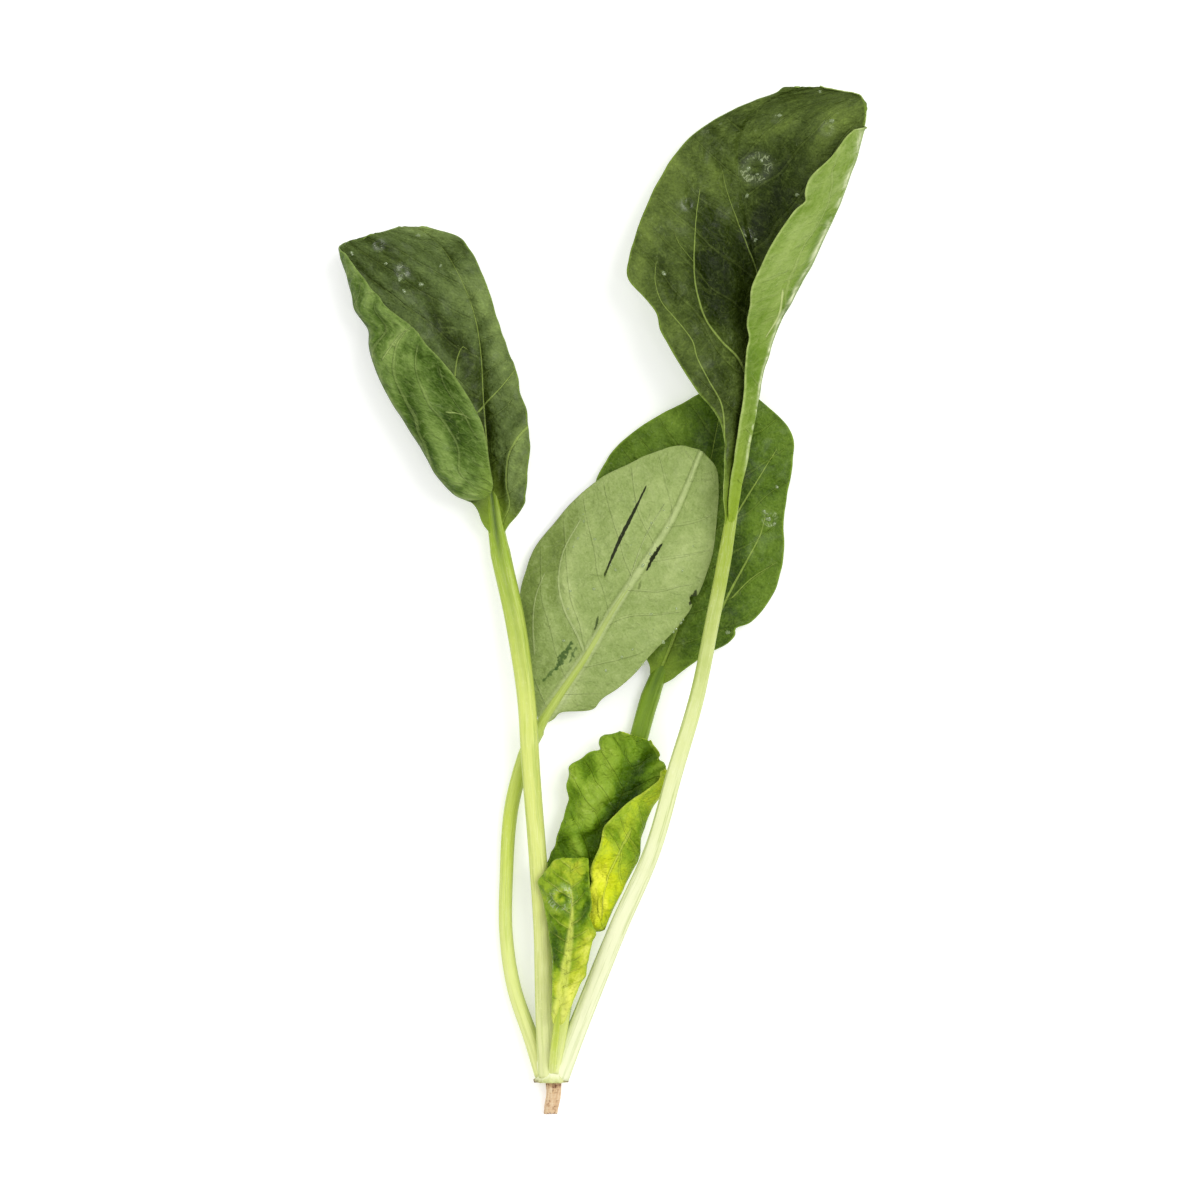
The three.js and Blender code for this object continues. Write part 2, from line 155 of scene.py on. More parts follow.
def noise(x: Array, y: Array, seed: float) -> Array:
    """Smooth noise from -1 to 1, with features one unit across.

    Each whole-number corner has a scattered value, and the four round a place are blended by smoothstep.

    Args:
        x: first coordinate.
        y: second coordinate.
        seed: picks another pattern.

    Returns:
        The noise, shaped as x.
    """
    x0, y0 = np.floor(x), np.floor(y)
    sx, sy = smoothstep(0, 1, x - x0), smoothstep(0, 1, y - y0)
    low = scatter(x0, y0, seed) * (1 - sx) + scatter(x0 + 1, y0, seed) * sx
    high = scatter(x0, y0 + 1, seed) * (1 - sx) + scatter(x0 + 1, y0 + 1, seed) * sx
    return 2 * (low * (1 - sy) + high * sy) - 1


def line_places(x: Array, y: Array, points: Points) -> tuple[Array, Array, Array]:
    """Where places lie beside a smooth line through the points, in plan.

    The nearest of the line's short straight stretches is found, and the way from its nearest place is split
    along and across it.

    Args:
        x: plan X of the places.
        y: plan Y of the places.
        points: the line's points.

    Returns:
        The distance across the line, signed by side, the distance past its ends, and the share of the way
        along the line of the nearest place on it.
    """
    spine = Spine(points)
    marks = spine.at(np.linspace(0, spine.length, MARKS_PER_POINT * len(points)))
    best, share, across, past = (np.full(x.shape, fill) for fill in (FAR, 0.0, FAR, FAR))
    for k in range(len(marks) - 1):
        (ax, ay), (dx, dy) = marks[k], marks[k + 1] - marks[k]
        step = np.hypot(dx, dy) + LEAST_STEP
        t = np.clip(((x - ax) * dx + (y - ay) * dy) / step**2, 0, 1)
        px, py = x - ax - t * dx, y - ay - t * dy
        closer = np.hypot(px, py) < best
        best = np.where(closer, np.hypot(px, py), best)
        share = np.where(closer, (k + t) / (len(marks) - 1), share)
        across = np.where(closer, (px * dy - py * dx) / step, across)
        past = np.where(closer, np.abs(px * dx + py * dy) / step, past)
    return across, past, share


def line_fact(across: Array, width: Array) -> Array:
    """What a mesh holds for a line: the distance across it and its half breadth, which ends far aside."""
    width = width - smoothstep(1.5, 2.5, np.abs(across))
    return np.stack([np.clip(across, -3, 3), width, 0 * width], 2)


class Spine:
    """A smooth line through points, read by the length along its chords."""

    def __init__(self, points: Sequence[Sequence[float]]) -> None:
        """Measures the line.

        Args:
            points: the points that it runs through, in mm.
        """
        self.points = np.array(points, float)
        chords = np.linalg.norm(np.diff(self.points, axis=0), axis=1)
        self.lengths = np.concatenate([[0.0], np.cumsum(chords)])
        self.length = float(self.lengths[-1])

    def at(self, s: Array) -> Array:
        """The places on the line at the lengths s."""
        return along(self.lengths, self.points, s)


# ---- shaders


def paint(code: str) -> tuple[float, float, float, float]:
    """A colour written as on a screen, as the linear colour that shaders take."""
    parts = [int(code[k : k + 2], 16) / 255 for k in (1, 3, 5)]
    return tuple(p / 12.92 if p <= 0.04045 else ((p + 0.055) / 1.055) ** 2.4 for p in parts) + (1.0,)


class Value:
    """A node's output socket that takes part in Python arithmetic: each operation adds a Math node."""

    def __init__(self, web: "Web", socket: bpy.types.NodeSocket) -> None:
        """Keeps the socket and the web of nodes that it belongs to."""
        self.web, self.socket = web, socket

    def __add__(self, other: Number) -> "Value":
        """Sum."""
        return self.web.math("ADD", self, other)

    __radd__ = __add__

    def __sub__(self, other: Number) -> "Value":
        """Difference."""
        return self.web.math("SUBTRACT", self, other)

    def __rsub__(self, other: Number) -> "Value":
        """Difference from a number."""
        return self.web.math("SUBTRACT", other, self)

    def __mul__(self, other: Number) -> "Value":
        """Product."""
        return self.web.math("MULTIPLY", self, other)

    __rmul__ = __mul__

    def size(self) -> "Value":
        """The value without its sign."""
        return self.web.math("ABSOLUTE", self, 0.0)

    def or_more(self, other: "Value") -> "Value":
        """The larger of two values."""
        return self.web.math("MAXIMUM", self, other)

    def fraction(self) -> "Value":
        """What is left over the whole number below."""
        return self.web.math("FRACT", self, 0.0)

    def clamped(self) -> "Value":
        """The value kept between 0 and 1."""
        return self.web.math("ADD", self, 0.0, use_clamp=True)


class Web:
    """The nodes of one material, with short ways to add to them."""

    def __init__(self, name: str) -> None:
        """Makes the material with its shader and output.

        Args:
            name: the material's name.
        """
        self.made = bpy.data.materials.new(name)
        self.made.use_nodes = True
        self.tree = self.made.node_tree
        self.tree.nodes.clear()
        self.shader = self.tree.nodes.new("ShaderNodeBsdfPrincipled")
        out = self.tree.nodes.new("ShaderNodeOutputMaterial")
        self.tree.links.new(self.shader.outputs[0], out.inputs["Surface"])

    def put(self, socket: bpy.types.NodeSocket, value: Any) -> None:
        """Fills one socket.

        Args:
            socket: the socket.
            value: a Value, which is linked, or anything else, which becomes its constant.
        """
        if isinstance(value, Value):
            self.tree.links.new(value.socket, socket)
        else:
            socket.default_value = value

    def node(self, kind: str, settings: dict[str, Any], inputs: dict[Any, Any], output: Any = 0) -> Value:
        """Adds any node.

        Args:
            kind: the node's type.
            settings: its own properties, set first. "stops" holds a ramp's places and colours.
            inputs: constants or links, by a socket's identifier, name or number.
            output: name or number of the output that is wanted.

        Returns:
            That output.
        """
        made = self.tree.nodes.new(kind)
        for key, value in settings.items():
            if key == "stops":
                for spare in range(len(value) - 2):
                    made.color_ramp.elements.new(0.5 + spare / 100)
                for element, (place, colour) in zip(made.color_ramp.elements, value):
                    element.position, element.color = place, colour
            else:
                setattr(made, key, value)
        for key, value in inputs.items():
            found = [s for s in made.inputs if s.identifier == key] if isinstance(key, str) else []
            self.put(found[0] if found else made.inputs[key], value)
        return Value(self, made.outputs[output])

    def math(self, operation: str, a: Number, b: Number, use_clamp: bool = False) -> Value:
        """One Math node on two numbers or values."""
        return self.node("ShaderNodeMath", {"operation": operation, "use_clamp": use_clamp}, {0: a, 1: b})

    def fact(self, name: str) -> Value:
        """The number that the mesh holds for each vertex under this name."""
        return self.node("ShaderNodeAttribute", {"attribute_name": name}, {}, "Fac")

    def place(self, name: str) -> Value:
        """The vector that the mesh holds for each vertex under this name."""
        return self.node("ShaderNodeAttribute", {"attribute_name": name}, {}, "Vector")

    def axis(self, vector: Value, which: int) -> Value:
        """One part of a vector: 0, 1 or 2."""
        return self.node("ShaderNodeSeparateXYZ", {}, {0: vector}, which)

    def stretch(self, vector: Value, scale: Sequence[float]) -> Value:
        """The vector times a scale for each axis."""
        return self.node("ShaderNodeVectorMath", {"operation": "MULTIPLY"}, {0: vector, 1: tuple(scale)})

    def cloud(
        self, vector: Value, scale: float, detail: float = 3.0, rough: float = 0.55, warp: float = 0.0
    ) -> Value:
        """Noise from about 0 to 1 round a half.

        Args:
            vector: where it is read.
            scale: features per unit of the vector.
            detail: octaves.
            rough: strength of the finer octaves.
            warp: how far the pattern is distorted.

        Returns:
            The noise.
        """
        inputs = {"Vector": vector, "Scale": scale, "Detail": detail, "Roughness": rough, "Distortion": warp}
        return self.node("ShaderNodeTexNoise", {}, inputs, "Fac")

    def ridges(self, vector: Value, scale: float, width: float) -> Value:
        """Thin wandering lines where a noise crosses its middle."""
        off = (self.cloud(vector, scale, 1.5, 0.5, 0.9) - 0.5).size()
        return self.step(off, width, 0.0)

    def line(self, name: str, rough: Number = 0.0, soft: float = 0.07) -> Value:
        """A line that the mesh holds under this name as its distance across and half breadth, in mm."""
        held = self.place(name)
        return self.step(self.axis(held, 1) + rough - self.axis(held, 0).size(), -soft, soft)

    def step(self, value: Value, low: float, high: float) -> Value:
        """0 where the value is under low, 1 over high, and smooth between them; low may be the larger."""
        inputs = {"Value": value, "From Min": low, "From Max": high}
        return self.node("ShaderNodeMapRange", {"interpolation_type": "SMOOTHSTEP"}, inputs)

    def mix(self, share: Number, a: Any, b: Any) -> Value:
        """Colour a turned towards colour b by the share."""
        inputs = {"Factor_Float": share, "A_Color": a, "B_Color": b}
        return self.node("ShaderNodeMix", {"data_type": "RGBA"}, inputs, 2)

    def tint(self, colour: Value, share: Value, code: str) -> Value:
        """The colour turned towards a screen colour by the share."""
        return self.mix(share, colour, paint(code))

    def ramp(self, value: Value, places: Sequence[float], colours: Sequence[str]) -> Value:
        """Screen colours laid along a value from 0 to 1, each at its place."""
        stops = list(zip(places, map(paint, colours)))
        return self.node("ShaderNodeValToRGB", {"stops": stops}, {"Fac": value}, "Color")

    def bump(self, height: Value, depth: float) -> Value:
        """A Normal from a height, where depth is what a height of 1 stands for, in mm."""
        inputs = {"Height": height, "Strength": 1.0, "Distance": depth * MM}
        return self.node("ShaderNodeBump", {}, inputs, "Normal")

    def finish(self, **sockets: Any) -> Material:
        """Fills the shader's sockets.

        Args:
            **sockets: values or links by the socket's name, with _ for each space in it.

        Returns:
            The material.
        """
        for key, value in sockets.items():
            self.put(self.shader.inputs[key.replace("_", " ")], value)
        return self.made


@dataclass(frozen=True)
class BladeFinish:
    """One side of a leaf's blade."""

    name: str
    tones: tuple[str, str, str, str, str]  # from the deepest hollow to the brightest patch
    vein: str
    margin: str  # the thin line along the free edge
    stalk: str  # where the blade runs into its stalk
    roughness: float = 0.42
    mottle: float = 0.16  # how far the tone wanders
    net: float = 0.12  # how much the fine veins show
    veins_show: float = 0.8
    side: float = 0.12  # how much the side veins show
    rib_soft: float = 0.12  # half breadth of the rib line's blurred sides, mm
    grain: float = 0.05  # height of the fine relief, mm
    sheen: float = 0.3  # how strongly a bend takes a painted highlight
    bent: str = "#9db063"  # the colour of that painted highlight
    gloss: float = 0.1  # strength of the reflections
    glint_colour: str = "#b4c290"  # of its smallest painted glints
    moist: float = 0.15  # how much of it shines as if wet
    film: float = 0.2  # roughness of that shine
    raised: float = -1.0  # 1 where the veins stand out of this face, -1 where they sink into it

    def material(self, veins: int, tears: Sequence["Slit"]) -> Material:
        """The finish: wandering tone, painted hollow shade and highlights, veins, a pale edge, tears and fine
        relief.

        Args:
            veins: how many main veins the mesh holds.
            tears: the slits and grazes that it holds.

        Returns:
            The material.
        """
        web = Web(self.name)
        lamina, flow = web.place("lamina"), web.place("flow")
        tone, stalk, bend, edge = web.fact("tone"), web.fact("stalk"), web.fact("bend"), web.fact("edge")
        broad = web.cloud(lamina, 0.9, 4.0, 0.6, 0.6) - 0.5
        fine = web.cloud(lamina, 6.0, 3.0, 0.6, 0.3) - 0.5
        streaks = web.cloud(web.stretch(flow, (0.9, 7.0, 1.0)), 1.0, 3.0, 0.6) - 0.5
        speck = web.cloud(lamina, 20.0, 2.0, 0.6) - 0.5
        patchy = web.cloud(lamina, 2.4, 3.0, 0.55, 0.8) - 0.5
        wander = 2.0 * broad + 1.8 * patchy + 2.1 * fine + 0.5 * streaks + 2.4 * speck
        # tone carries painted shade and sheen from the patches, and painted shade and light from the relief
        level = (0.5 + 0.5 * tone + self.mottle * wander).clamped()
        colour = web.ramp(level, TONE_PLACES, self.tones)
        side = self.side_veins(web, edge, broad)
        net = (web.ridges(lamina, 3.0, 0.05) + 0.6 * web.ridges(lamina, 7.5, 0.07)) * (0.5 + 2.0 * fine)
        line = web.step(web.fact("rib") - web.axis(lamina, 0).size() * 10.0, -self.rib_soft, self.rib_soft)
        for k in range(veins):
            line = line.or_more(web.line(f"vein{k}") * 0.9)
        shown = line.or_more(side * self.side)
        colour = web.tint(colour, (net * self.net).clamped(), self.vein)
        colour = web.tint(colour, (shown * self.veins_show * (0.85 + 0.9 * fine)).clamped(), self.vein)
        colour = web.tint(colour, (stalk * (1.0 + 0.8 * streaks)).clamped(), self.stalk)
        # painted highlight along the sheet's bend, broken into streaks
        bent = bend * (1.0 - 1.8 * stalk) * self.sheen * (0.7 + 2.0 * streaks + 5.0 * patchy)
        colour = web.tint(colour, bent.clamped(), self.bent)
        margin = web.step(edge, 0.55, 0.1) * (1.0 - stalk) * (0.55 + 1.5 * fine)
        colour = web.tint(colour, margin, self.margin)
        # tears: a slit's dark colour is painted shade in its gap
        for k, tear in enumerate(tears):
            torn = web.line(f"tear{k}", tear.ragged * (web.cloud(lamina, 9.0, 3.0, 0.6) - 0.5), tear.soft)
            colour = web.tint(colour, torn * tear.depth, tear.colour)
            line = line.or_more(torn * (-0.5 * self.raised))
        wet = web.fact("wet")
        # painted glints: pale specks, and threads round the puckers' wet rings
        glints = web.step(web.cloud(lamina, 13.0, 1.0, 0.5, 1.2), 0.70, 0.76) * (0.2 + 0.4 * wet)
        glint_threads = web.ridges(lamina, 6.0, 0.05) * web.step(wet + 2.0 * fine + 2.4 * patchy, 0.65, 0.95)
        colour = web.tint(colour, (0.6 * glints.or_more(glint_threads)).clamped(), self.glint_colour)
        rough = (self.roughness + 0.35 * fine + 0.3 * broad) * (1.0 - 0.75 * wet)
        quilt = (web.ridges(lamina, 2.6, 0.3) + 0.5 * web.ridges(lamina, 5.5, 0.3)) * (1.0 - 0.8 * line)
        height = self.raised * (1.6 * line + 0.7 * side + 0.8 * quilt)
        height = height + 1.3 * web.cloud(lamina, 5.0, 4.0, 0.6, 0.5)
        relief = web.bump(height + 0.8 * speck + 3.6 * patchy + 0.15 * streaks, self.grain)
        damp = web.step(web.cloud(lamina, 2.2, 3.0, 0.6, 0.4), 0.46, 0.70)
        return web.finish(
            Base_Color=colour, Roughness=rough.clamped(), Normal=relief, Specular_IOR_Level=self.gloss,
            Coat_Weight=(self.moist * damp + 0.7 * wet).clamped(), Coat_Roughness=self.film,
        )  # fmt: skip

    def side_veins(self, web: Web, edge: Value, broad: Value) -> Value:
        """Side veins: thin lines where the leaf's count is a half over a whole number.

        Args:
            web: the material's nodes.
            edge: the distance to the free edge, mm.
            broad: a noise that their breadth wanders with.

        Returns:
            How much of a place is vein.
        """
        off = (web.fact("count").fraction() - 0.5).size() * web.fact("gap")
        width = 0.09 + 0.018 * edge
        return web.step(off - width + 0.25 * broad, 0.10, -0.10) * web.step(edge, 0.3, 3.0)


@dataclass(frozen=True)
class StalkFinish:
    """A stalk: pale at the crown, greener towards the blade, with lengthwise streaks."""

    name: str
    colours: tuple[str, str, str, str, str]  # from the crown to the blade, and under it
    streak: str
    core: str  # the paler ribs along it
    sides: str = "#8fa63c"  # its flanks
    flanks: float = 0.6  # how much its sides take that colour
    channel: str | None = None  # painted shade in its furrow; its streaks' colour where left out
    roughness: float = 0.36

    def material(self) -> Material:
        """The finish: colours laid along the stalk, lengthwise dark and pale streaks, painted shade in its
        furrow, moist gloss.

        Returns:
            The material.
        """
        web = Web(self.name)
        grain = web.place("grain")
        reach, groove, flank = web.fact("reach"), web.fact("groove"), web.fact("flank")
        long = web.cloud(web.stretch(grain, (1.6, 1.6, 0.05)), 1.0, 3.0, 0.6)
        hair = web.cloud(web.stretch(grain, (6.0, 6.0, 0.2)), 1.0, 2.0, 0.6)
        pores = web.cloud(web.stretch(grain, (3.0, 3.0, 1.6)), 1.0, 2.0, 0.5)
        patch = web.cloud(grain, 0.22, 3.0, 0.6) - 0.5
        level = (reach + 0.16 * patch).clamped()
        colour = web.ramp(level, STALK_PLACES, self.colours)
        colour = web.tint(colour, web.step(flank + 0.8 * (long - 0.5), 0.1, 0.9) * self.flanks, self.sides)
        colour = web.tint(colour, web.step(long, 0.50, 0.66) * (0.2 + 0.5 * reach), self.streak)
        pale = 1.1 - reach
        colour = web.tint(colour, web.step(hair, 0.50, 0.72) * pale * 0.7, self.core)
        colour = web.tint(colour, web.step(pores, 0.60, 0.75) * pale * 0.5, self.core)
        # painted shade along the furrow
        colour = web.tint(colour, (groove * (0.5 + 0.7 * hair)).clamped(), self.channel or self.streak)
        relief = web.bump(0.7 * long + 0.3 * hair + 0.25 * pores, 0.2)
        rough = (self.roughness + 0.3 * (hair - 0.5)).clamped()
        return web.finish(Base_Color=colour, Roughness=rough, Normal=relief, Specular_IOR_Level=0.25)


@dataclass(frozen=True)
class CrownFinish:
    """The crown: pale leaf bases, a yellow-green collar and brown scars where old leaves broke off."""

    name: str = "crown"
    base: tuple[str, str, str] = ("#c2ca70", "#f2f5cc", "#f0f3c4")
    scar: str = "#6e4a20"

    def material(self) -> Material:
        """The finish: a pale ramp along the crown, with scars where the mesh says and lengthwise streaks.

        Returns:
            The material.
        """
        web = Web(self.name)
        grain = web.place("grain")
        streaks = web.cloud(web.stretch(grain, (1.6, 1.6, 0.5)), 1.0, 4.0, 0.6)
        level = (web.fact("reach") + 0.4 * (streaks - 0.5)).clamped()
        colour = web.ramp(level, (0.0, 0.4, 1.0), self.base)
        scarred = (web.fact("scar") * (0.7 + 1.2 * web.cloud(grain, 2.5))).clamped()
        colour = web.tint(colour, scarred, self.scar)
        relief = web.bump(streaks, 0.25)
        return web.finish(Base_Color=colour, Roughness=0.5 + 0.3 * (streaks - 0.5), Normal=relief)


@dataclass(frozen=True)
class RootFinish:
    """The tap root: pinkish tan skin with darker lengthwise streaks, and a fibrous cut end."""

    name: str = "root"
    skin: tuple[str, str, str] = ("#7a4c30", "#d8b48a", "#f2e0bc")

    def material(self) -> Material:
        """The finish: tan shades laid over lengthwise streaks, rough and finely ridged.

        Returns:
            The material.
        """
        web = Web(self.name)
        grain = web.place("grain")
        streaks = web.cloud(web.stretch(grain, (1.8, 1.8, 0.35)), 1.0, 5.0, 0.65)
        rings = web.cloud(web.stretch(grain, (0.5, 0.5, 3.0)), 1.0, 3.0, 0.6)
        blotch = web.step(web.cloud(grain, 0.8, 3.0, 0.65, 0.5), 0.52, 0.66)
        # scar: painted shadow under the collar near the crown, and the torn end's darker colour
        level = 0.62 + 1.6 * (streaks - 0.5) + 0.6 * (rings - 0.5) - 0.35 * web.fact("scar") - 0.3 * blotch
        colour = web.ramp(level.clamped(), THREE_PLACES, self.skin)
        relief = web.bump(streaks + 0.5 * rings, 0.3)
        return web.finish(Base_Color=colour, Roughness=0.72 + 0.2 * (rings - 0.5), Normal=relief)


@dataclass(frozen=True)
class WaterFinish:
    """Water in a drop, as a clear shine and a pale painted highlight over the leaf."""

    name: str = "water"
    # veil: painted light that makes each drop read as a pale speck
    veil: str = "#a9bd84"
    cover: float = 0.42  # how much of the leaf the veil hides
    roughness: float = 0.08
    film: float = 0.03  # roughness of its outermost shine

    def material(self) -> Material:
        """The finish: a faint pale veil, painted light on the drop, with sharp reflections."""
        return Web(self.name).finish(
            Base_Color=paint(self.veil), Roughness=self.roughness, Specular_IOR_Level=1.0, Coat_Weight=1.0,
            Coat_Roughness=self.film, Alpha=self.cover,
        )  # fmt: skip


# ---- meshes


def placed(name: str, data: bpy.types.ID) -> Thing:
    """A new object at the origin of the scene.

    Args:
        name: the object's name.
        data: its mesh, lamp or camera.

    Returns:
        The object.
    """
    thing = bpy.data.objects.new(name, data)
    bpy.context.scene.collection.objects.link(thing)
    return thing


@dataclass
class Maker:
    low: Array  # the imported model's box, mm
    high: Array
    made: int = 0

    def piece(
        self,
        name: str,
        points: Array,
        faces: Sequence[Array],
        materials: Sequence[Material],
        facts: Named,
        replaced: Sequence[str],
        kinds: Array | None = None,
    ) -> Thing:
        """One object from its vertices and faces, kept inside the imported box, smooth, riding on the plant.

        Args:
            name: the piece's name.
            points: vertices in mm, one row each.
            faces: arrays of faces, each with one count of corners.
            materials: its finishes.
            facts: numbers or vectors held for each vertex, by name.
            replaced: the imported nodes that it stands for.
            kinds: which finish each face has, where there are several.

        Returns:
            The object.
        """
        inside = np.clip(points, self.low + BOX_INSET, self.high - BOX_INSET) * MM
        mesh = bpy.data.meshes.new(name)
        mesh.from_pydata(inside.tolist(), [], [f for group in faces for f in group.tolist()])
        for material in materials:
            mesh.materials.append(material)
        mesh.polygons.foreach_set("use_smooth", np.ones(len(mesh.polygons), bool))
        if kinds is not None:
            mesh.polygons.foreach_set("material_index", kinds.astype(np.int32))
        for key, values in facts.items():
            vector = values.ndim > 1
            held = mesh.attributes.new(key, "FLOAT_VECTOR" if vector else "FLOAT", "POINT")
            held.data.foreach_set("vector" if vector else "value", values.astype(np.float32).ravel())
        mesh.update()
        thing = placed(name, mesh)
        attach(thing, BODY)
        if replaced:
            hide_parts(*replaced)
        self.made += sum(len(f) * (f.shape[1] - 2) for f in faces)
        log.info("%s: %d vertices, %d faces", name, len(mesh.vertices), len(mesh.polygons))
        return thing


def grid_faces(rows: int, columns: int, wrapped: bool = False) -> Array:
    """The quads between neighbouring rows and columns of a grid.

    Args:
        rows: rows of vertices.
        columns: vertices in a row.
        wrapped: whether the last column meets the first.

    Returns:
        One row of four corners for each quad, turning left seen from the side that rows x columns faces.
    """
    j = np.arange(columns if wrapped else columns - 1)
    a = (np.arange(rows - 1)[:, None] * columns + j).ravel()
    b = (np.arange(rows - 1)[:, None] * columns + (j + 1) % columns).ravel()
    return np.stack([a, b, b + columns, a + columns], 1)


def grid_normals(surface: Array) -> Array:
    """Unit normals of a grid of points: the cross product of its slopes along columns and rows."""
    across, up = np.gradient(surface, axis=1), np.gradient(surface, axis=0)
    return unit(np.cross(across, up))


def tube_faces(rings: int, sides: int) -> list[Array]:
    """The quads of a tube and the fans that close it, whose hubs are the two vertices after the rings.

    Args:
        rings: rings along the tube.
        sides: vertices in a ring.

    Returns:
        The quads, the first ring's fan and the last one's.
    """
    ring = np.arange(sides)
    after = (ring + 1) % sides
    last = (rings - 1) * sides
    first_fan = np.stack([np.full(sides, rings * sides), ring, after], 1)
    last_fan = np.stack([np.full(sides, rings * sides + 1), last + after, last + ring], 1)
    quads = grid_faces(rings, sides, wrapped=True)
    return [quads[:, ::-1], first_fan, last_fan]


# ---- leaf details


class Layer(Enum):
    """Which part of a folded blade a detail is on."""

    OPEN = "open"
    FLAP = "flap"


@dataclass(frozen=True)
class Vein:
    """A main vein, as a line over the blade seen from above."""

    points: Points
    width: float = 0.25  # half of its breadth at its start, mm
    layer: Layer = Layer.OPEN


@dataclass(frozen=True)
class Patch:
    """A soft oval of tone seen from above: darker ones mostly painted shade, lighter ones partly painted
    sheen.
    """

    x: float
    y: float
    wide: float
    long: float
    turn: float  # degrees, clockwise from +Y, of its long way
    tone: float  # below 0 darker, mostly as painted shade
    layer: Layer = Layer.OPEN

    def weight(self, x: Array, y: Array) -> Array:
        """A bell across the oval times one along it.

        Args:
            x: plan X of the places.
            y: plan Y of the places.

        Returns:
            1 at its middle, falling to nothing round it.
        """
        c, s = np.cos(self.turn * DEG), np.sin(self.turn * DEG)
        dx, dy = x - self.x, y - self.y
        return bell(dx * c - dy * s, self.wide) * bell(dx * s + dy * c, self.long)


@dataclass(frozen=True)
class Pucker:
    """Rings of small folds round one place, seen from above."""

    x: float
    y: float
    size: float
    height: float
    spacing: float
    arms: float = 2.0  # how strongly the rings are broken into arms

    def ring(self, x: Array, y: Array) -> Array:
        """A bell round a circle of two thirds of its size, where it shines, with wet gloss and painted glints.
        """
        r = np.hypot(x - self.x, y - self.y)
        return bell(r, 0.28 * self.size, 0.65 * self.size)

    def height_at(self, x: Array, y: Array) -> Array:
        """Rings whose height is a cosine of the distance, turned by the angle, under a bell.

        Args:
            x: plan X of the places.
            y: plan Y of the places.

        Returns:
            The heights, mm.
        """
        r, angle = np.hypot(x - self.x, y - self.y), np.arctan2(y - self.y, x - self.x)
        rings = np.cos(2 * np.pi * r / self.spacing + self.arms * angle + noise(x / 1.7, y / 1.7, 3.0))
        return self.height * rings * bell(r, self.size)


@dataclass(frozen=True)
class Fold:
    """A soft ridge along a line over the blade, seen from above, or a furrow where its height is below 0."""

    points: Points
    wide: float  # half breadth, mm
    height: float  # towards the sky, mm
    layer: Layer = Layer.OPEN

    def height_at(self, x: Array, y: Array) -> Array:
        """A bell across the line and past its ends, whose height swells towards the line's middle.

        Args:
            x: plan X of the places.
            y: plan Y of the places.

        Returns:
            The heights, mm.
        """
        across, past, share = line_places(x, y, self.points)
        swell = np.sin(np.pi * np.clip(share, 0.12, 0.88)) ** 0.7
        return self.height * swell * bell(np.hypot(across, past), self.wide)


@dataclass(frozen=True)
class Slit:
    """A torn slit or a graze in the blade, seen from above."""

    points: Points
    width: float  # half of its breadth, mm
    ragged: float = 0.15  # how far its edges wander, mm
    # near black by default: painted shade in a torn slit's gap; a graze gives its own colour
    colour: str = "#10150a"
    depth: float = 0.95  # how fully it takes its colour
    soft: float = 0.07


@dataclass(frozen=True)
class Nick:
    """A dent in a blade's outline, or in a folded half's free edge; a bulge where its depth is below 0."""

    at: float  # share of the rib's length
    long: float  # half of its length, as the same share
    depth: float  # mm
    flap: bool = False

    def dent(self, v: Array) -> Array:
        """A bell over the share v."""
        return self.depth * bell(v, self.long, self.at)


@dataclass(frozen=True)
class Half:
    """One half of a blade, from its rib to its free edge."""

    reach: tuple[float, ...]  # plan distance from the rib to the outline, or to the crease, at each station
    tilt: Trio  # slope beside the rib at the foot, middle and tip, degrees
    curl: Trio  # slope at the free edge; past 90 where it is folded over
    flap: tuple[float, ...] | None = None  # plan width folded back over
    turn: float = 0.0  # width of lamina in the bend
    nicks: tuple[Nick, ...] = ()


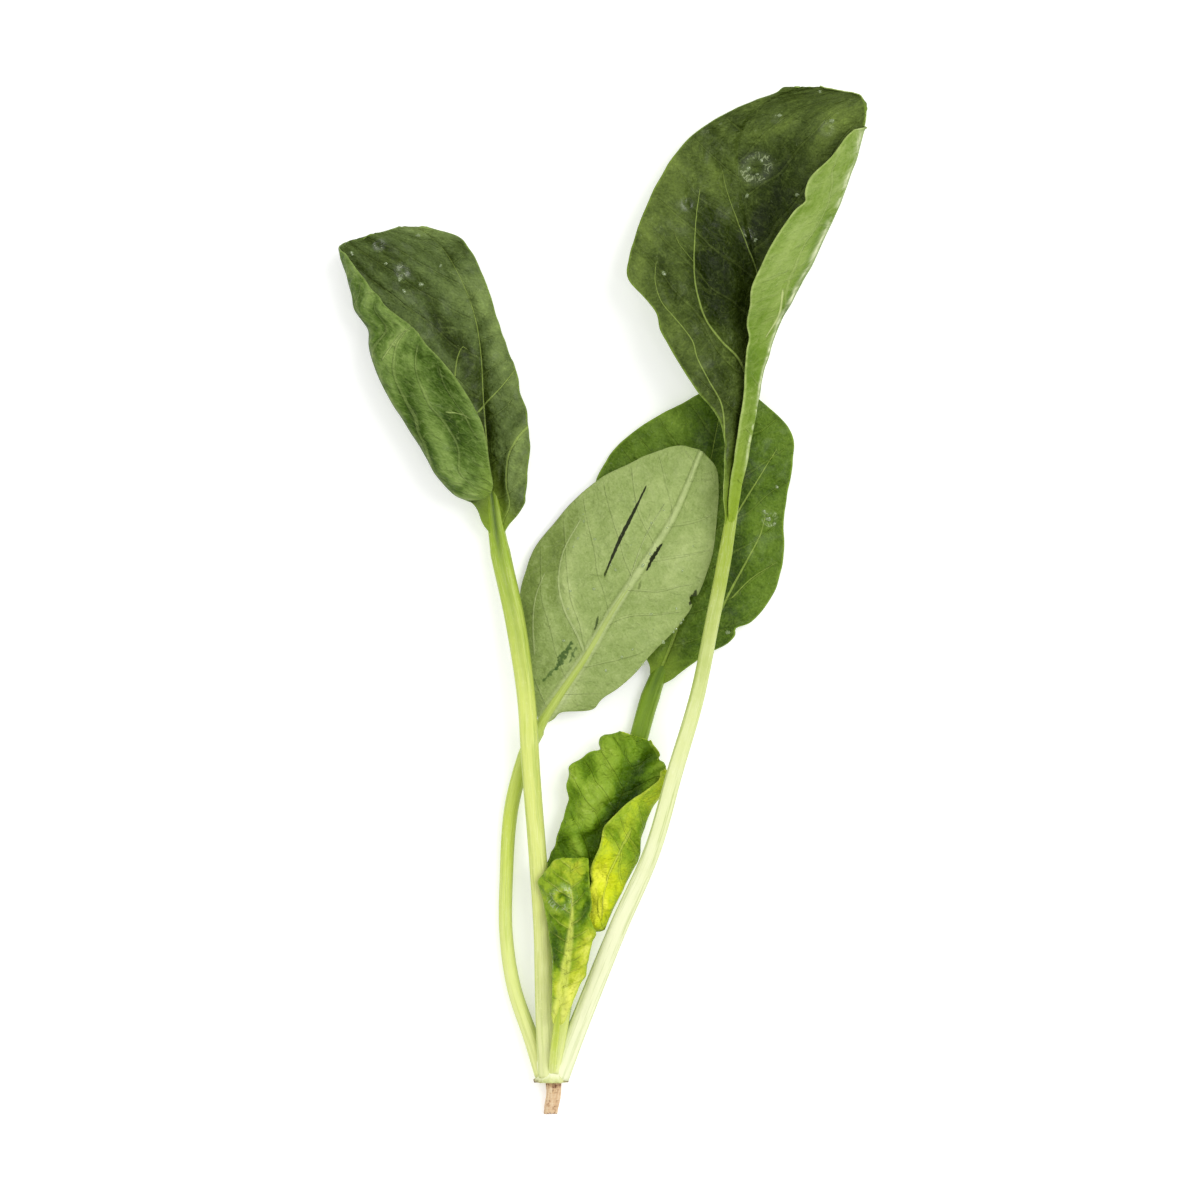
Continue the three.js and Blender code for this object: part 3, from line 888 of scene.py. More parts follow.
@dataclass
class Leaf:
    """A leaf: its stalk and rib as one tapering tube, and its blade as a thin sheet bent across the rib."""

    name: str
    stalk: Points  # centre line from the crown to where the blade begins
    rib: Points  # on to the leaf's tip
    radii: Trio  # of the stalk at the crown, middle and blade
    at: tuple[float, ...]  # stations along the rib
    left: Half
    right: Half
    wave: Pair  # height and number of waves along the free edges
    crinkle: Pair  # height and spacing of the broad puckers
    upper: BladeFinish  # of the side that faces up beside the rib
    under: BladeFinish
    skin: StalkFinish
    blade_slot: str
    stalk_slot: str
    heading: float = 0.0  # plan angle of the line that the blade's rows are square to, degrees
    turned: bool = False  # lies upside down, with its rib on top
    shows: Pair = (0.05, 0.2)  # where the stalk sinks from the blade's top to under it
    merge: float = 5.0  # how far from its foot the blade leaves the stalk, mm
    winged: float = 0.5  # how far up the blade is coloured like its stalk beside the rib
    folds: Pair = (0.12, 6.0)  # height and size of the finer folds
    ripple: float = 0.35  # how far the outline wanders, mm
    spacing: float = 9.0  # between side veins, mm
    lean: float = 0.62  # how far along the rib a side vein runs for each mm that it runs out
    bow: float = 0.018  # how that grows with the distance from the rib, for each mm
    rank: float = 0.1  # depth of the furrows along the side veins, mm
    rib_line: Trio = (0.5, 0.3, 0.12)  # half breadth of the rib's line, foot to tip, mm
    seed: float = 1.0
    veins: tuple[Vein, ...] = ()
    patches: tuple[Patch, ...] = ()
    puckers: tuple[Pucker, ...] = ()
    creases: tuple[Fold, ...] = ()
    slits: tuple[Slit, ...] = ()
    dew: Points = ()  # its drops of water: plan X and Y, and radius, mm
    tone: float = 0.0
    relief_shade_and_light: float = 0.45  # painted shade in a hollow and painted light on a ridge, as a share of tone
    rib_taper: Pair = (0.5, 0.6)  # radius at the rib's tip, mm, and how it gets there
    rib_share: float = 0.9  # share of the blade's length that the rib runs over
    clearance: float = 0.3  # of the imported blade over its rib, mm
    packed_thickness: float = 0.8
    thickness: float = 0.5
    steps: int = 28  # stretches that a blade's section is summed over
    rows_per_mm: float = 2.15  # of the blade's grid, along the rib
    columns_per_mm: float = 2.7  # of the same grid, out from the rib
    column_limits: tuple[int, int] = (26, 106)
    ring_gap: float = 0.8  # between the stalk's rings, mm
    sunk_by: float = 0.35  # how far into its stalk the blade's foot lies, as a share of the stalk's radius
    raised_by: float = 0.15  # how far over its rib a turned blade lies, as the same share
    channel: float = 0.32  # depth of the dip over the rib, mm
    turns_over: Pair = (84.0, 96.0)  # slopes between which the sheet comes to lie on itself, degrees
    highlight_slopes: Pair = (14.0, 124.0)  # half breadth and middle of the slopes that take the painted highlight, degrees
    sides: int = 36
    spine: Spine = field(init=False)
    foot: float = field(init=False)

    def __post_init__(self) -> None:
        """Measures the line of the stalk and rib, and where the blade begins on it."""
        self.spine = Spine(self.stalk + self.rib)
        self.foot = float(self.spine.lengths[len(self.stalk) - 1])

    @property
    def blade_length(self) -> float:
        """Length of the rib's line under the blade, mm."""
        return self.spine.length - self.foot

    def radius(self, s: Array) -> Array:
        """Radius of the stalk or rib at the lengths s.

        Three-way along the stalk, then narrowing to the tip's radius by a power of the share of the rib.

        Args:
            s: lengths from the crown, mm.

        Returns:
            The radii, mm.
        """
        share = np.clip((s - self.foot) / (self.blade_length * self.rib_share), 0, 1)
        tip, power = self.rib_taper
        on_rib = self.radii[2] + (tip - self.radii[2]) * share**power
        return np.where(s <= self.foot, three_way(self.radii, np.minimum(s / self.foot, 1)), on_rib)

    def section(self, half: Half, v: Array, q: Array, seed: float) -> tuple[Array, Array, Array, Array]:
        """The sheet across one half of the blade.

        Its slope turns by smoothstep from the tilt to the curl over the width of the bend. Towards the tip it
        eases off close to the rib, so that the halves meet there without a crease. Its distance and height
        are the sums of that slope's cosine and sine over the lamina. The outline and the flap wander.

        Args:
            half: the half.
            v: shares of the way from foot to tip, one column.
            q: shares of the way from the rib to the free edge, one row.
            seed: picks how the outline wanders.

        Returns:
            Plan distance, height, slope and lamina distance from the rib, over the grid.
        """
        s = v * self.blade_length
        wander = noise(s / 7, 0 * s, seed) + 0.5 * noise(s / 2.9, 0 * s, seed + 1)
        wander = wander * smoothstep(0.0, 0.12, v) * smoothstep(1.0, 0.94, v)
        reach = along(self.at, half.reach, v) - sum(n.dent(v) for n in half.nicks if not n.flap)
        reach = np.maximum(reach + 0.5 * self.ripple * wander, 0.3)
        tilt, curl = three_way(half.tilt, v) * DEG, three_way(half.curl, v) * DEG
        if half.flap is None:
            turn, crease = 1.2 * reach, 0.6 * reach
            width = reach / np.cos((tilt + curl) / 2)
            out = q * width
        else:
            flap = along(self.at, half.flap, v) - sum(n.dent(v) for n in half.nicks if n.flap)
            flap = np.maximum(flap, 0) + 0.3 * self.ripple * wander * smoothstep(1, 4, flap)
            folded = smoothstep(0.4, 2.2, flap)
            curl = tilt + (curl - tilt) * folded
            turn = np.minimum(half.turn, 1.2 * reach)
            crease = reach / np.cos(tilt) + 0.12 * turn * folded
            width = crease + (flap + 0.2 * turn) * folded
            inner = crease * (1 - np.abs(1 - 2 * np.minimum(q, 0.5)) ** 1.6)
            outer = crease + (width - crease) * np.abs(2 * np.maximum(q, 0.5) - 1) ** 1.4
            out = np.where(q < 0.5, inner, outer)

        def slope_at(place: Array) -> Array:
            """Slope of the sheet.

            Args:
                place: lamina distances from the rib.

            Returns:
                The slopes there.
            """
            low, high = (crease - turn / 2)[..., None], (crease + turn / 2)[..., None]
            eased = 1 - smoothstep(6.0, 0.0, place) * smoothstep(0.45, 0.8, v)[..., None]
            return tilt[..., None] * eased + (curl - tilt)[..., None] * smoothstep(low, high, place)

        slope = slope_at((np.arange(self.steps) + 0.5) / self.steps * out[..., None])
        across, rise = np.cos(slope).mean(2) * out, np.sin(slope).mean(2) * out
        return across, rise, slope_at(out[..., None])[..., 0], out

    def columns(self, half: Half) -> int:
        """How many columns one half's grid has."""
        widest = max(r + (half.flap[i] + half.turn / 3 if half.flap else 0) for i, r in enumerate(half.reach))
        return int(np.clip(widest * self.columns_per_mm, *self.column_limits))

    def grid(self) -> Named:
        """The blade's middle surface and what is known of each place on it.

        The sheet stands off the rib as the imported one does, except close to it. At the blade's foot it sinks
        into the stalk's flanks. Further on it dips into a shallow channel over the rib, or, on a leaf that is
        turned over, rises onto the rib's flanks.

        Returns:
            Arrays over the grid of rows along the rib and columns across it, by name.
        """
        rows = int(self.blade_length * self.rows_per_mm) + 12
        v = (np.linspace(0, 1, rows) ** 0.95)[:, None]
        n_left, n_right = self.columns(self.left), self.columns(self.right)
        left = self.section(self.left, v, np.linspace(1, 0, n_left + 1)[None, :-1], self.seed)
        right = self.section(self.right, v, np.linspace(0, 1, n_right + 1)[None, :], self.seed + 20)
        across, rise, slope, out = (np.concatenate(pair, 1) for pair in zip(left, right))
        sign = np.where(np.arange(across.shape[1]) < n_left, -1.0, 1.0)[None, :]
        u = np.concatenate([-np.linspace(1, 0, n_left + 1)[:-1], np.linspace(0, 1, n_right + 1)])[None, :]
        s = self.foot + v * self.blade_length
        rib = self.spine.at(s[:, 0])
        radius = self.radius(s)
        packed = radius + self.clearance + self.packed_thickness / 2
        near = bell(across, 1.7 * radius)
        sunk = 1 - smoothstep(*self.shows, v)
        if self.turned:
            packed = packed + (self.raised_by * radius - packed) * near
        else:
            packed = packed + (-self.sunk_by * radius - packed) * near * sunk
            packed = packed - self.channel * bell(across, 0.8) * (1 - sunk)
        high, count = self.wave
        wave = high * np.minimum(1, 8 * v) * u**2 * np.sin(2 * np.pi * count * v + np.where(sign < 0, 0, 2))
        high, gap = self.crinkle
        broad = high * np.minimum(1, 3 * np.abs(u)) * np.cos(slope) ** 2
        broad = broad * np.sin(2 * np.pi * s / gap + 1.3 * u) * np.cos(2 * np.pi * across / gap)
        z = rib[:, 2:3] + (-packed if self.turned else packed) + rise + wave + broad
        c, n = np.cos(self.heading * DEG), np.sin(self.heading * DEG)
        x = rib[:, 0:1] + sign * across * c
        y = rib[:, 1:2] - sign * across * n
        place = np.stack([x, y, np.maximum(z, self.packed_thickness / 2)], 2)
        merged = 0.1 + 0.9 * smoothstep(0.0, self.merge, v * self.blade_length)[..., None]
        core = rib[:, None, :] - np.array([0.0, 0.0, 0.3]) * radius[..., None]
        place = core + (place - core) * merged
        edge = np.where(sign < 0, out.max(1, initial=0, where=sign < 0, keepdims=True), 0)
        edge = np.where(sign > 0, out.max(1, initial=0, where=sign > 0, keepdims=True), edge)
        return {
            "place": place, "v": v + 0 * u, "s": s + 0 * u, "radius": radius + 0 * u, "sign": sign + 0 * v,
            "across": across, "slope": slope, "out": out, "edge": edge - out,
        }  # fmt: skip

    def vein_root(self, g: Named) -> Array:
        """The length along the rib at which the side vein through a place leaves it, mm."""
        return g["s"] - self.lean * g["out"] - self.bow * g["out"] ** 2

    def vein_count(self, g: Named) -> tuple[Array, Array]:
        """Counts the side veins: curves that leave the rib and bow to the tip, with some wander.

        Args:
            g: the grid.

        Returns:
            A number that grows by one from a vein to the next and is a half over a whole one on a vein, and
            the distance between two veins, mm.
        """
        wander = 1.6 * noise(g["s"] / 11, g["sign"] * 3, self.seed)
        wander = wander + 0.9 * noise(g["out"] / 5, g["s"] / 7, self.seed + 4)
        count = (self.vein_root(g) - self.foot + wander) / self.spacing + 0.37 * (g["sign"] > 0) + self.seed
        return count, self.spacing / np.sqrt(1 + (self.lean + 2 * self.bow * g["out"]) ** 2)

    def on_layer(self, g: Named, layer: Layer) -> Array:
        """1 on the named layer of the blade and 0 on the other, by whether the sheet has turned over."""
        over = smoothstep(*(angle * DEG for angle in self.turns_over), np.abs(g["slope"]))
        return over if layer is Layer.FLAP else 1 - over

    def dressed(self) -> tuple[Named, Named]:
        """The grid and its facts for each place: veins, tone with painted shade, margin, stalk, bend
        highlight, marks.

        Returns:
            The grid, and the facts by name.
        """
        g = self.grid()
        x, y = g["place"][..., 0], g["place"][..., 1]
        tone = self.tone + 0 * x
        # darker patches are mostly painted shade in hollows and beside folds, lighter ones partly painted
        # sheen
        for patch in self.patches:
            tone = tone + patch.tone * patch.weight(x, y) * self.on_layer(g, patch.layer)
        wet = 0 * x
        for pucker in self.puckers:
            wet = np.maximum(wet, pucker.ring(x, y))
        fade = 1 - smoothstep(0.0, self.winged, g["v"])
        wing = fade * bell(g["across"], (1.4 + 2.4 * fade**3) * g["radius"])
        count, gap = self.vein_count(g)
        facts = {
            "tone": np.clip(tone, -1, 1),
            "stalk": wing,
            "edge": np.clip(g["edge"], 0, 12),
            "count": count,
            "gap": gap,
            "rib": three_way(self.rib_line, g["v"]) - 0.02 + 0 * x,
            "wet": wet * self.on_layer(g, Layer.OPEN),
            # where a bend takes its painted highlight
            "bend": bell(np.abs(g["slope"]), *(angle * DEG for angle in self.highlight_slopes)),
            "lamina": np.stack([g["sign"] * g["out"], g["s"], 0 * x], 2) / 10,
            "flow": np.stack([g["out"], self.vein_root(g), g["sign"] * 9], 2) / 10,
        }
        for k, vein in enumerate(self.veins):
            across, past, share = line_places(x, y, vein.points)
            width = vein.width * (1 - 0.6 * share) - 0.3 * past - 1 + self.on_layer(g, vein.layer)
            facts[f"vein{k}"] = line_fact(across, width)
        for k, slit in enumerate(self.slits):
            across, past, share = line_places(x, y, slit.points)
            width = slit.width * np.sin(np.pi * np.clip(share, 0.1, 0.9)) ** 0.5 - 0.6 * past
            facts[f"tear{k}"] = line_fact(across, width)
        return g, facts

    def surfaces(self) -> tuple[Array, Array, Named, Named]:
        """Both faces of the blade: the middle surface moved along its normal, with the relief added.

        The relief moves both faces alike, and painted shade darkens its hollows and painted light its ridges.

        Returns:
            The face towards the sky beside the rib, the other face, the facts, and the grid.
        """
        g, facts = self.dressed()
        raised = self.relief(g, facts)
        # painted shade in the relief's hollows and painted light on its ridges
        facts["tone"] = np.clip(facts["tone"] + self.relief_shade_and_light * np.clip(raised / 0.5, -1, 1), -1, 1)
        sky = np.cos(g["slope"])
        free = smoothstep(0.3, 2.5, g["out"]) * (0.35 + 0.65 * sky**2) * sky / (np.abs(sky) + 0.15)
        normal = grid_normals(g["place"])
        middle = g["place"] + normal * (raised * free)[..., None]
        normal = grid_normals(middle)
        half = self.thickness / 2 * (1 - 0.55 * bell(g["edge"], 0.5))
        groove = 0.14 * bell(g["out"], 0.7) * smoothstep(1.0, 0.8, g["v"])
        top = middle + normal * (half + (groove if self.turned else -groove))[..., None]
        bottom = middle - normal * (half + (-groove if self.turned else groove))[..., None]
        return top, bottom, facts, g

    def relief(self, g: Named, facts: Named) -> Array:
        """How far the sheet stands out of its middle surface, towards the sky, mm.

        Soft folds that run along the side veins, the rings of its puckers, the creases, and a furrow, or on a
        turned leaf a ridge, over each side vein.

        Args:
            g: the grid.
            facts: its facts.

        Returns:
            The heights.
        """
        x, y = g["place"][..., 0], g["place"][..., 1]
        high, size = self.folds
        lx, ly = facts["flow"][..., 0] * 6 / size + 3 * g["sign"], facts["flow"][..., 1] * 10 / size
        warp = 0.5 * noise(lx * 0.8, ly * 0.8, self.seed + 7)
        ridged = np.abs(noise(lx * 1.9 - warp, ly * 1.9, self.seed + 1))
        puffed = noise(lx + warp, ly - warp, self.seed) - 0.8 * ridged
        puffed = high * (0.3 + puffed + 0.35 * noise(lx * 4.3, ly * 3.7, self.seed + 2))
        for pucker in self.puckers:
            puffed = puffed + pucker.height_at(x, y) * self.on_layer(g, Layer.OPEN)
        for crease in self.creases:
            puffed = puffed + crease.height_at(x, y) * self.on_layer(g, crease.layer)
        off = np.abs(facts["count"] - np.floor(facts["count"]) - 0.5) * facts["gap"]
        return puffed - self.rank * bell(off, 1.1) * (-1 if self.turned else 1)

    def build_blade(self, maker: Maker) -> Thing:
        """The blade as a closed sheet: its two faces, joined by a narrow band round the edge.

        Args:
            maker: makes the object.

        Returns:
            The object.
        """
        top, bottom, facts, _ = self.surfaces()
        rows, columns = top.shape[:2]
        count = rows * columns
        faces = grid_faces(rows, columns)
        rim = np.concatenate([
            np.arange(columns), np.arange(1, rows) * columns + columns - 1,
            (rows - 1) * columns + np.arange(columns - 2, -1, -1), np.arange(rows - 2, 0, -1) * columns,
        ])  # fmt: skip
        after = np.roll(rim, -1)
        band = np.stack([after, rim, rim + count, after + count], 1)
        points = np.concatenate([top.reshape(-1, 3), bottom.reshape(-1, 3)])
        points[:, 2] = np.maximum(points[:, 2], SURFACE_GAP)
        doubled = {k: np.concatenate([f.reshape(count, -1)] * 2).squeeze() for k, f in facts.items()}
        kinds = np.concatenate([np.zeros(len(faces)), np.ones(len(faces)), np.ones(len(band))])
        materials = [f.material(len(self.veins), self.slits) for f in (self.upper, self.under)]
        return maker.piece(
            f"{self.name}_blade_fine", points, [faces, faces[:, ::-1] + count, band], materials, doubled,
            [f"{self.name}_blade"], kinds,
        )  # fmt: skip

    def build_stalk(self, maker: Maker) -> Thing:
        """The stalk and rib: rings square to the line, channelled along the top and faintly ridged all round.

        Args:
            maker: makes the object.

        Returns:
            The object.
        """
        end = self.foot + self.blade_length * self.rib_share
        s = np.linspace(0, end, int(end / self.ring_gap))
        centre = self.spine.at(s)
        share = np.clip((s - self.foot) / (end - self.foot), 0, 1)
        if self.turned:
            centre[:, 2] -= 0.5 * self.radius(s) * smoothstep(0.0, 0.2, share)
        forward = unit(self.spine.at(np.minimum(s + 0.5, end)) - self.spine.at(np.maximum(s - 0.5, 0)))
        side = unit(np.stack([forward[:, 1], -forward[:, 0], 0 * s], 1))
        up = np.cross(side, forward)
        angle = round_angles(self.sides)
        from_top = np.angle(np.exp(1j * (angle - (1.5 if self.turned else 0.5) * np.pi)))
        deep = 0.1 + 0.14 * smoothstep(0.2, 1.0, s / self.foot)[:, None]
        shape = 1 - deep * bell(from_top, 0.5) + 0.03 * bell(np.abs(from_top), 0.3, 0.95)
        ridges = 0.014 * np.cos(7 * angle + 0.6 * noise(s / 30, 0 * s, self.seed)[:, None])
        lumps = 0.03 * noise(s[:, None] / 14, np.cos(angle), self.seed + 3)
        radius = self.radius(s)[:, None] * (shape + ridges + lumps)
        radius = radius * (0.25 + 0.75 * smoothstep(0, 1.2, (end - s)[:, None]))
        rings = centre[:, None, :] + radius[..., None] * (
            side[:, None, :] * np.cos(angle)[..., None] + up[:, None, :] * np.sin(angle)[..., None]
        )
        points = np.concatenate([rings.reshape(-1, 3), centre[:1], centre[-1:]])
        points[:, 2] = np.maximum(points[:, 2], SURFACE_GAP)
        hubs = np.array([s[0], s[-1]])
        length = np.concatenate([np.repeat(s, self.sides), hubs])
        grain = np.stack([radius * np.cos(angle), radius * np.sin(angle), s[:, None] + 0 * angle], 2)
        on_stalk, on_rib = np.minimum(length / self.foot, 1), np.clip((length - self.foot) / 40, 0, 1)
        deepened = 0.35 * smoothstep(0.5, 1.0, s / self.foot) + 0.65 * smoothstep(0.97, 1.05, s / self.foot)
        channel = bell(from_top, 0.42) * deepened[:, None]
        flank = 1 - np.maximum(np.sin(angle), 0) + 0 * s[:, None]
        facts = {
            "reach": 0.75 * on_stalk + 0.25 * on_rib,
            "grain": np.concatenate([grain.reshape(-1, 3), np.stack([0 * hubs, 0 * hubs, hubs], 1)]),
            "groove": np.concatenate([channel.ravel(), [0, 0]]),
            "flank": np.concatenate([flank.ravel(), [0.5, 0.5]]),
        }
        return maker.piece(
            f"{self.name}_stem_fine", points, tube_faces(len(s), self.sides), [self.skin.material()], facts,
            [f"{self.name}_stem"],
        )  # fmt: skip


@dataclass
class Dew:
    """Drops of water standing on a leaf."""

    leaf: Leaf
    rings: int = 6
    sides: int = 14
    tall: float = 0.55  # height of a drop as a share of its radius
    sink: float = 0.25  # how far below its widest ring a drop goes on, radians
    climb: float = 0.08  # how far aside a drop may be taken to stand on a face one mm higher, mm

    def build(self, maker: Maker) -> Thing:
        """The drops: half ellipsoids square to the leaf, with a flat base just under its face.

        A drop's radius is the cosine of the ring's angle and its height the sine, and its outline is pulled a
        little out of round.

        Args:
            maker: makes the object.

        Returns:
            The object.
        """
        top, bottom, _, g = self.leaf.surfaces()
        over = np.cos(g["slope"]) < 0
        face = np.where(over[..., None], bottom, top).reshape(-1, 3)
        normals = (grid_normals(top) * np.where(over, -1.0, 1.0)[..., None]).reshape(-1, 3)
        drops = np.array(self.leaf.dew, float)
        gap = np.hypot(*(face[None, :, k] - drops[:, None, k] for k in (0, 1)))
        nearest = np.argmin(gap - self.climb * face[None, :, 2], axis=1)
        seat, up = face[nearest], normals[nearest]
        side = unit(np.cross(up, [0.0, 1.0, 0.0]))
        other = np.cross(up, side)
        lift = np.linspace(-self.sink, np.pi / 2, self.rings, endpoint=False)[None, :, None]
        angle = round_angles(self.sides)[None]
        size = drops[:, 2][:, None, None]
        order = np.arange(len(drops))[:, None, None]
        odd = 1 + 0.16 * np.cos(2 * angle + 2.1 * order) + 0.08 * np.cos(3 * angle + order)
        flat = size * odd * np.cos(lift)
        rise = self.tall * size * np.sin(lift)
        rings = (
            seat[:, None, None, :]
            + side[:, None, None, :] * (flat * np.cos(angle))[..., None]
            + other[:, None, None, :] * (flat * np.sin(angle))[..., None]
            + up[:, None, None, :] * (rise + 0 * angle)[..., None]
        )
        low = seat + up * (self.tall * drops[:, 2:3] * np.sin(-self.sink))
        high = seat + up * (self.tall * drops[:, 2:3])
        points = np.concatenate([rings.reshape(len(drops), -1, 3), low[:, None], high[:, None]], 1)
        each = points.shape[1]
        faces = [
            (group[None] + np.arange(len(drops))[:, None, None] * each).reshape(-1, group.shape[1])
            for group in tube_faces(self.rings, self.sides)
        ]
        turned = [group[:, ::-1] for group in faces]
        name, water = f"{self.leaf.name}_dew", [WaterFinish().material()]
        return maker.piece(name, points.reshape(-1, 3), turned, water, {}, [])


@dataclass
class Crown:
    """The crown: a short barrel of leaf bases along +Y, with a frilled collar where the root begins."""

    radius: float = 3.4
    length: float = 5.6
    foot: float = -2.0
    height: float = 2.9
    rows: int = 70
    sides: int = 96
    profile: Points = (
        (0.0, 0.12, 0.0), (0.03, 0.62, 0.02), (0.09, 1.08, 0.06), (0.14, 1.09, 0.12), (0.24, 1.0, 0.24),
        (0.36, 0.95, 0.34), (0.60, 1.0, 0.58), (0.85, 1.03, 0.86), (0.95, 0.85, 0.97), (1.0, 0.12, 1.0),
    )  # fmt: skip

    def build(self, maker: Maker) -> Thing:
        """The crown: its profile turned round +Y, fluted by the leaf bases, and level where it rests.

        The radius is the profile's, times one plus a few cosines of the angle that fade towards the collar,
        plus noise that frays the collar's rim.

        Args:
            maker: makes the object.

        Returns:
            The object.
        """
        knots = np.array(self.profile)
        share = np.linspace(0, 1, self.rows)
        size = along(knots[:, 0], knots[:, 1], share)[:, None]
        place = along(knots[:, 0], knots[:, 2], share)[:, None]
        angle = round_angles(self.sides)
        collar = bell(share, 0.05, 0.13)[:, None]
        flutes = 0.05 * np.cos(5 * angle + 0.7) * smoothstep(0.2, 0.6, share)[:, None]
        fray = noise(angle * 5, share[:, None] * 9, 4.0) + noise(angle * 13, share[:, None] * 20, 6.0)
        radius = self.radius * size * (1 + flutes + 0.05 * collar * fray)
        x = radius * np.cos(angle)
        z = radius * np.sin(angle) * (1 + 0.16 * (np.sin(angle) > 0)) + self.height
        y = self.foot + self.length * place + 0.35 * collar * noise(angle * 4, 0 * angle, 8.0)
        level = smoothstep(0.0, 0.25, z) * np.maximum(z, 0)
        rings = np.stack([x, y + 0 * angle, np.maximum(level, 0.0)], 2)
        hub = np.array([[0.0, self.foot, self.height], [0.0, self.foot + self.length, self.height]])
        points = np.concatenate([rings.reshape(-1, 3), hub])
        scarred = bell(1 - np.abs(np.cos(angle)), 0.16) + 0.3 * (noise(angle * 3, 0 * angle, 2.0) > 0.2)
        scar = bell(share, 0.06, 0.11)[:, None] * scarred
        facts = {
            "reach": np.concatenate([(place + 0 * angle).ravel(), [0, 1]]),
            "scar": np.concatenate([np.clip(scar, 0, 1).ravel(), [0.3, 0]]),
            "grain": points[:, [0, 2, 1]],
        }
        faces = tube_faces(self.rows, self.sides)
        return maker.piece("crown_fine", points, faces, [CrownFinish().material()], facts, ["crown"])


@dataclass
class Root:
    """The stub of tap root, snapped off."""

    path: Points = ((0.5, -1.9, 2.9), (0.4, -4.6, 2.6), (0.0, -6.8, 2.1), (-0.3, -8.8, 1.6))
    top_radius: float = 1.7
    end_radius: float = 1.4
    rows: int = 60
    sides: int = 60

    def build(self, maker: Maker) -> Thing:
        """The root: rings along its line, ridged lengthwise by cosines and noise, with a torn end.

        Args:
            maker: makes the object.

        Returns:
            The object.
        """
        line = Spine(self.path)
        share = np.linspace(0, 1, self.rows)[:, None]
        centre = line.at(share[:, 0] * line.length)
        angle = round_angles(self.sides)
        taper = self.top_radius + (self.end_radius - self.top_radius) * share
        ridges = 0.07 * np.sin(3 * angle + share) + 0.03 * np.cos(11 * angle)
        rough = 0.05 * noise(angle * 4, share * 3, 1.0) + 0.03 * noise(share * 12, 0 * share, 5.0)
        close = 1 - 0.45 * smoothstep(0.965, 1.0, share)
        radius = taper * (1 + ridges + rough) * close
        x = centre[:, 0:1] + radius * np.cos(angle)
        z = centre[:, 2:3] + radius * np.sin(angle)
        torn = 0.35 * noise(angle * 6, 0 * angle, 3.0) * smoothstep(0.8, 1.0, share)
        rings = np.stack([x, centre[:, 1:2] + torn, np.maximum(z, 0.05)], 2)
        hubs = centre[[0, -1]] + np.array([[0, 0, 0], [0, 0.15, 0]])
        points = np.concatenate([rings.reshape(-1, 3), hubs])
        grain = np.stack([radius * np.cos(angle), radius * np.sin(angle), share * line.length + 0 * angle], 2)
        # darker at the torn end, and painted shadow just under the crown's collar
        scar = smoothstep(0.93, 1.0, share) + smoothstep(0.22, 0.05, share) + 0 * angle
        facts = {
            "grain": np.concatenate([grain.reshape(-1, 3), [[0, 0, 0], [0, 0, line.length]]]),
            "scar": np.concatenate([scar.ravel(), [0, 1]]),
        }
        faces = [f[:, ::-1] for f in tube_faces(self.rows, self.sides)]
        skin = [RootFinish().material()]
        return maker.piece("root_stub_fine", points, faces, skin, facts, ["root_stub"])


@dataclass
class Studio:
    """A plain pale floor, soft light from the right and above, and a camera that looks straight down."""

    centre: Pair = (10.6, 103.3)  # the middle of the view, mm
    width: float = 262.0  # what the view takes in, mm
    distance: float = 1700.0
    floor_size: float = 3.0  # metres
    floor_drop: float = 1e-4  # how far it lies under the plant, metres
    floor: tuple[str, str] = ("#f2f2f2", "#f3f3f2")  # its two shades
    glow: float = 0.32  # light of the floor's own, which thins the shadows on it
    sky: float = 0.66
    lamps: tuple[tuple[str, float, float, Trio], ...] = (
        ("key", 1.35, 36.0, (-0.6, -0.3, -1.0)),
        ("fill", 0.55, 80.0, (0.8, -0.3, -1.0)),
        ("glint", 0.10, 4.0, (-0.25, 0.2, -1.0)),
    )  # name, strength, breadth in the sky in degrees, and the way it shines

    def build(self) -> None:
        """Makes the floor, the lights, the sky and the camera."""
        self.build_floor()
        self.build_light()
        self.build_camera()

    def build_floor(self) -> None:
        """The floor: one level square, faintly mottled."""
        mesh = bpy.data.meshes.new("floor")
        square = np.array([(-1, -1), (1, -1), (1, 1), (-1, 1)]) * self.floor_size / 2
        corners = np.column_stack([square, np.full(4, -self.floor_drop)])
        mesh.from_pydata(corners.tolist(), [], [(0, 1, 2, 3)])
        web = Web("floor")
        soft = web.cloud(web.node("ShaderNodeTexCoord", {}, {}, "Object"), 9.0, 2.0)
        shade = web.mix(soft, *map(paint, self.floor))
        mesh.materials.append(
            web.finish(Base_Color=shade, Roughness=0.9, Emission_Color=WHITE, Emission_Strength=self.glow)
        )
        thing = placed("floor", mesh)
        thing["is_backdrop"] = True

    def build_light(self) -> None:
        """A wide soft lamp from the upper right, a weaker one from the left, a small one, and a pale sky."""
        for name, strength, spread, towards in self.lamps:
            lamp = bpy.data.lights.new(name, "SUN")
            lamp.energy, lamp.angle = strength, spread * DEG
            holder = placed(name, lamp)
            holder.rotation_mode = "QUATERNION"
            holder.rotation_quaternion = Vector(towards).to_track_quat("-Z", "Y")
        world = bpy.data.worlds.new("sky")
        world.use_nodes = True
        background = world.node_tree.nodes["Background"].inputs
        background["Color"].default_value = WHITE
        background["Strength"].default_value = self.sky
        bpy.context.scene.world = world
        bpy.context.scene.view_settings.view_transform = "Standard"

    def build_camera(self) -> None:
        """The camera, level over the view's middle, with +Y up the view."""
        camera = bpy.data.cameras.new("camera")
        camera.sensor_width = 36.0
        camera.lens = camera.sensor_width * self.distance / self.width
        camera.clip_start, camera.clip_end = 0.01, 20.0
        holder = placed("camera", camera)
        holder.location = (self.centre[0] * MM, self.centre[1] * MM, self.distance * MM)
        bpy.context.scene.camera = holder


# ---- the plant

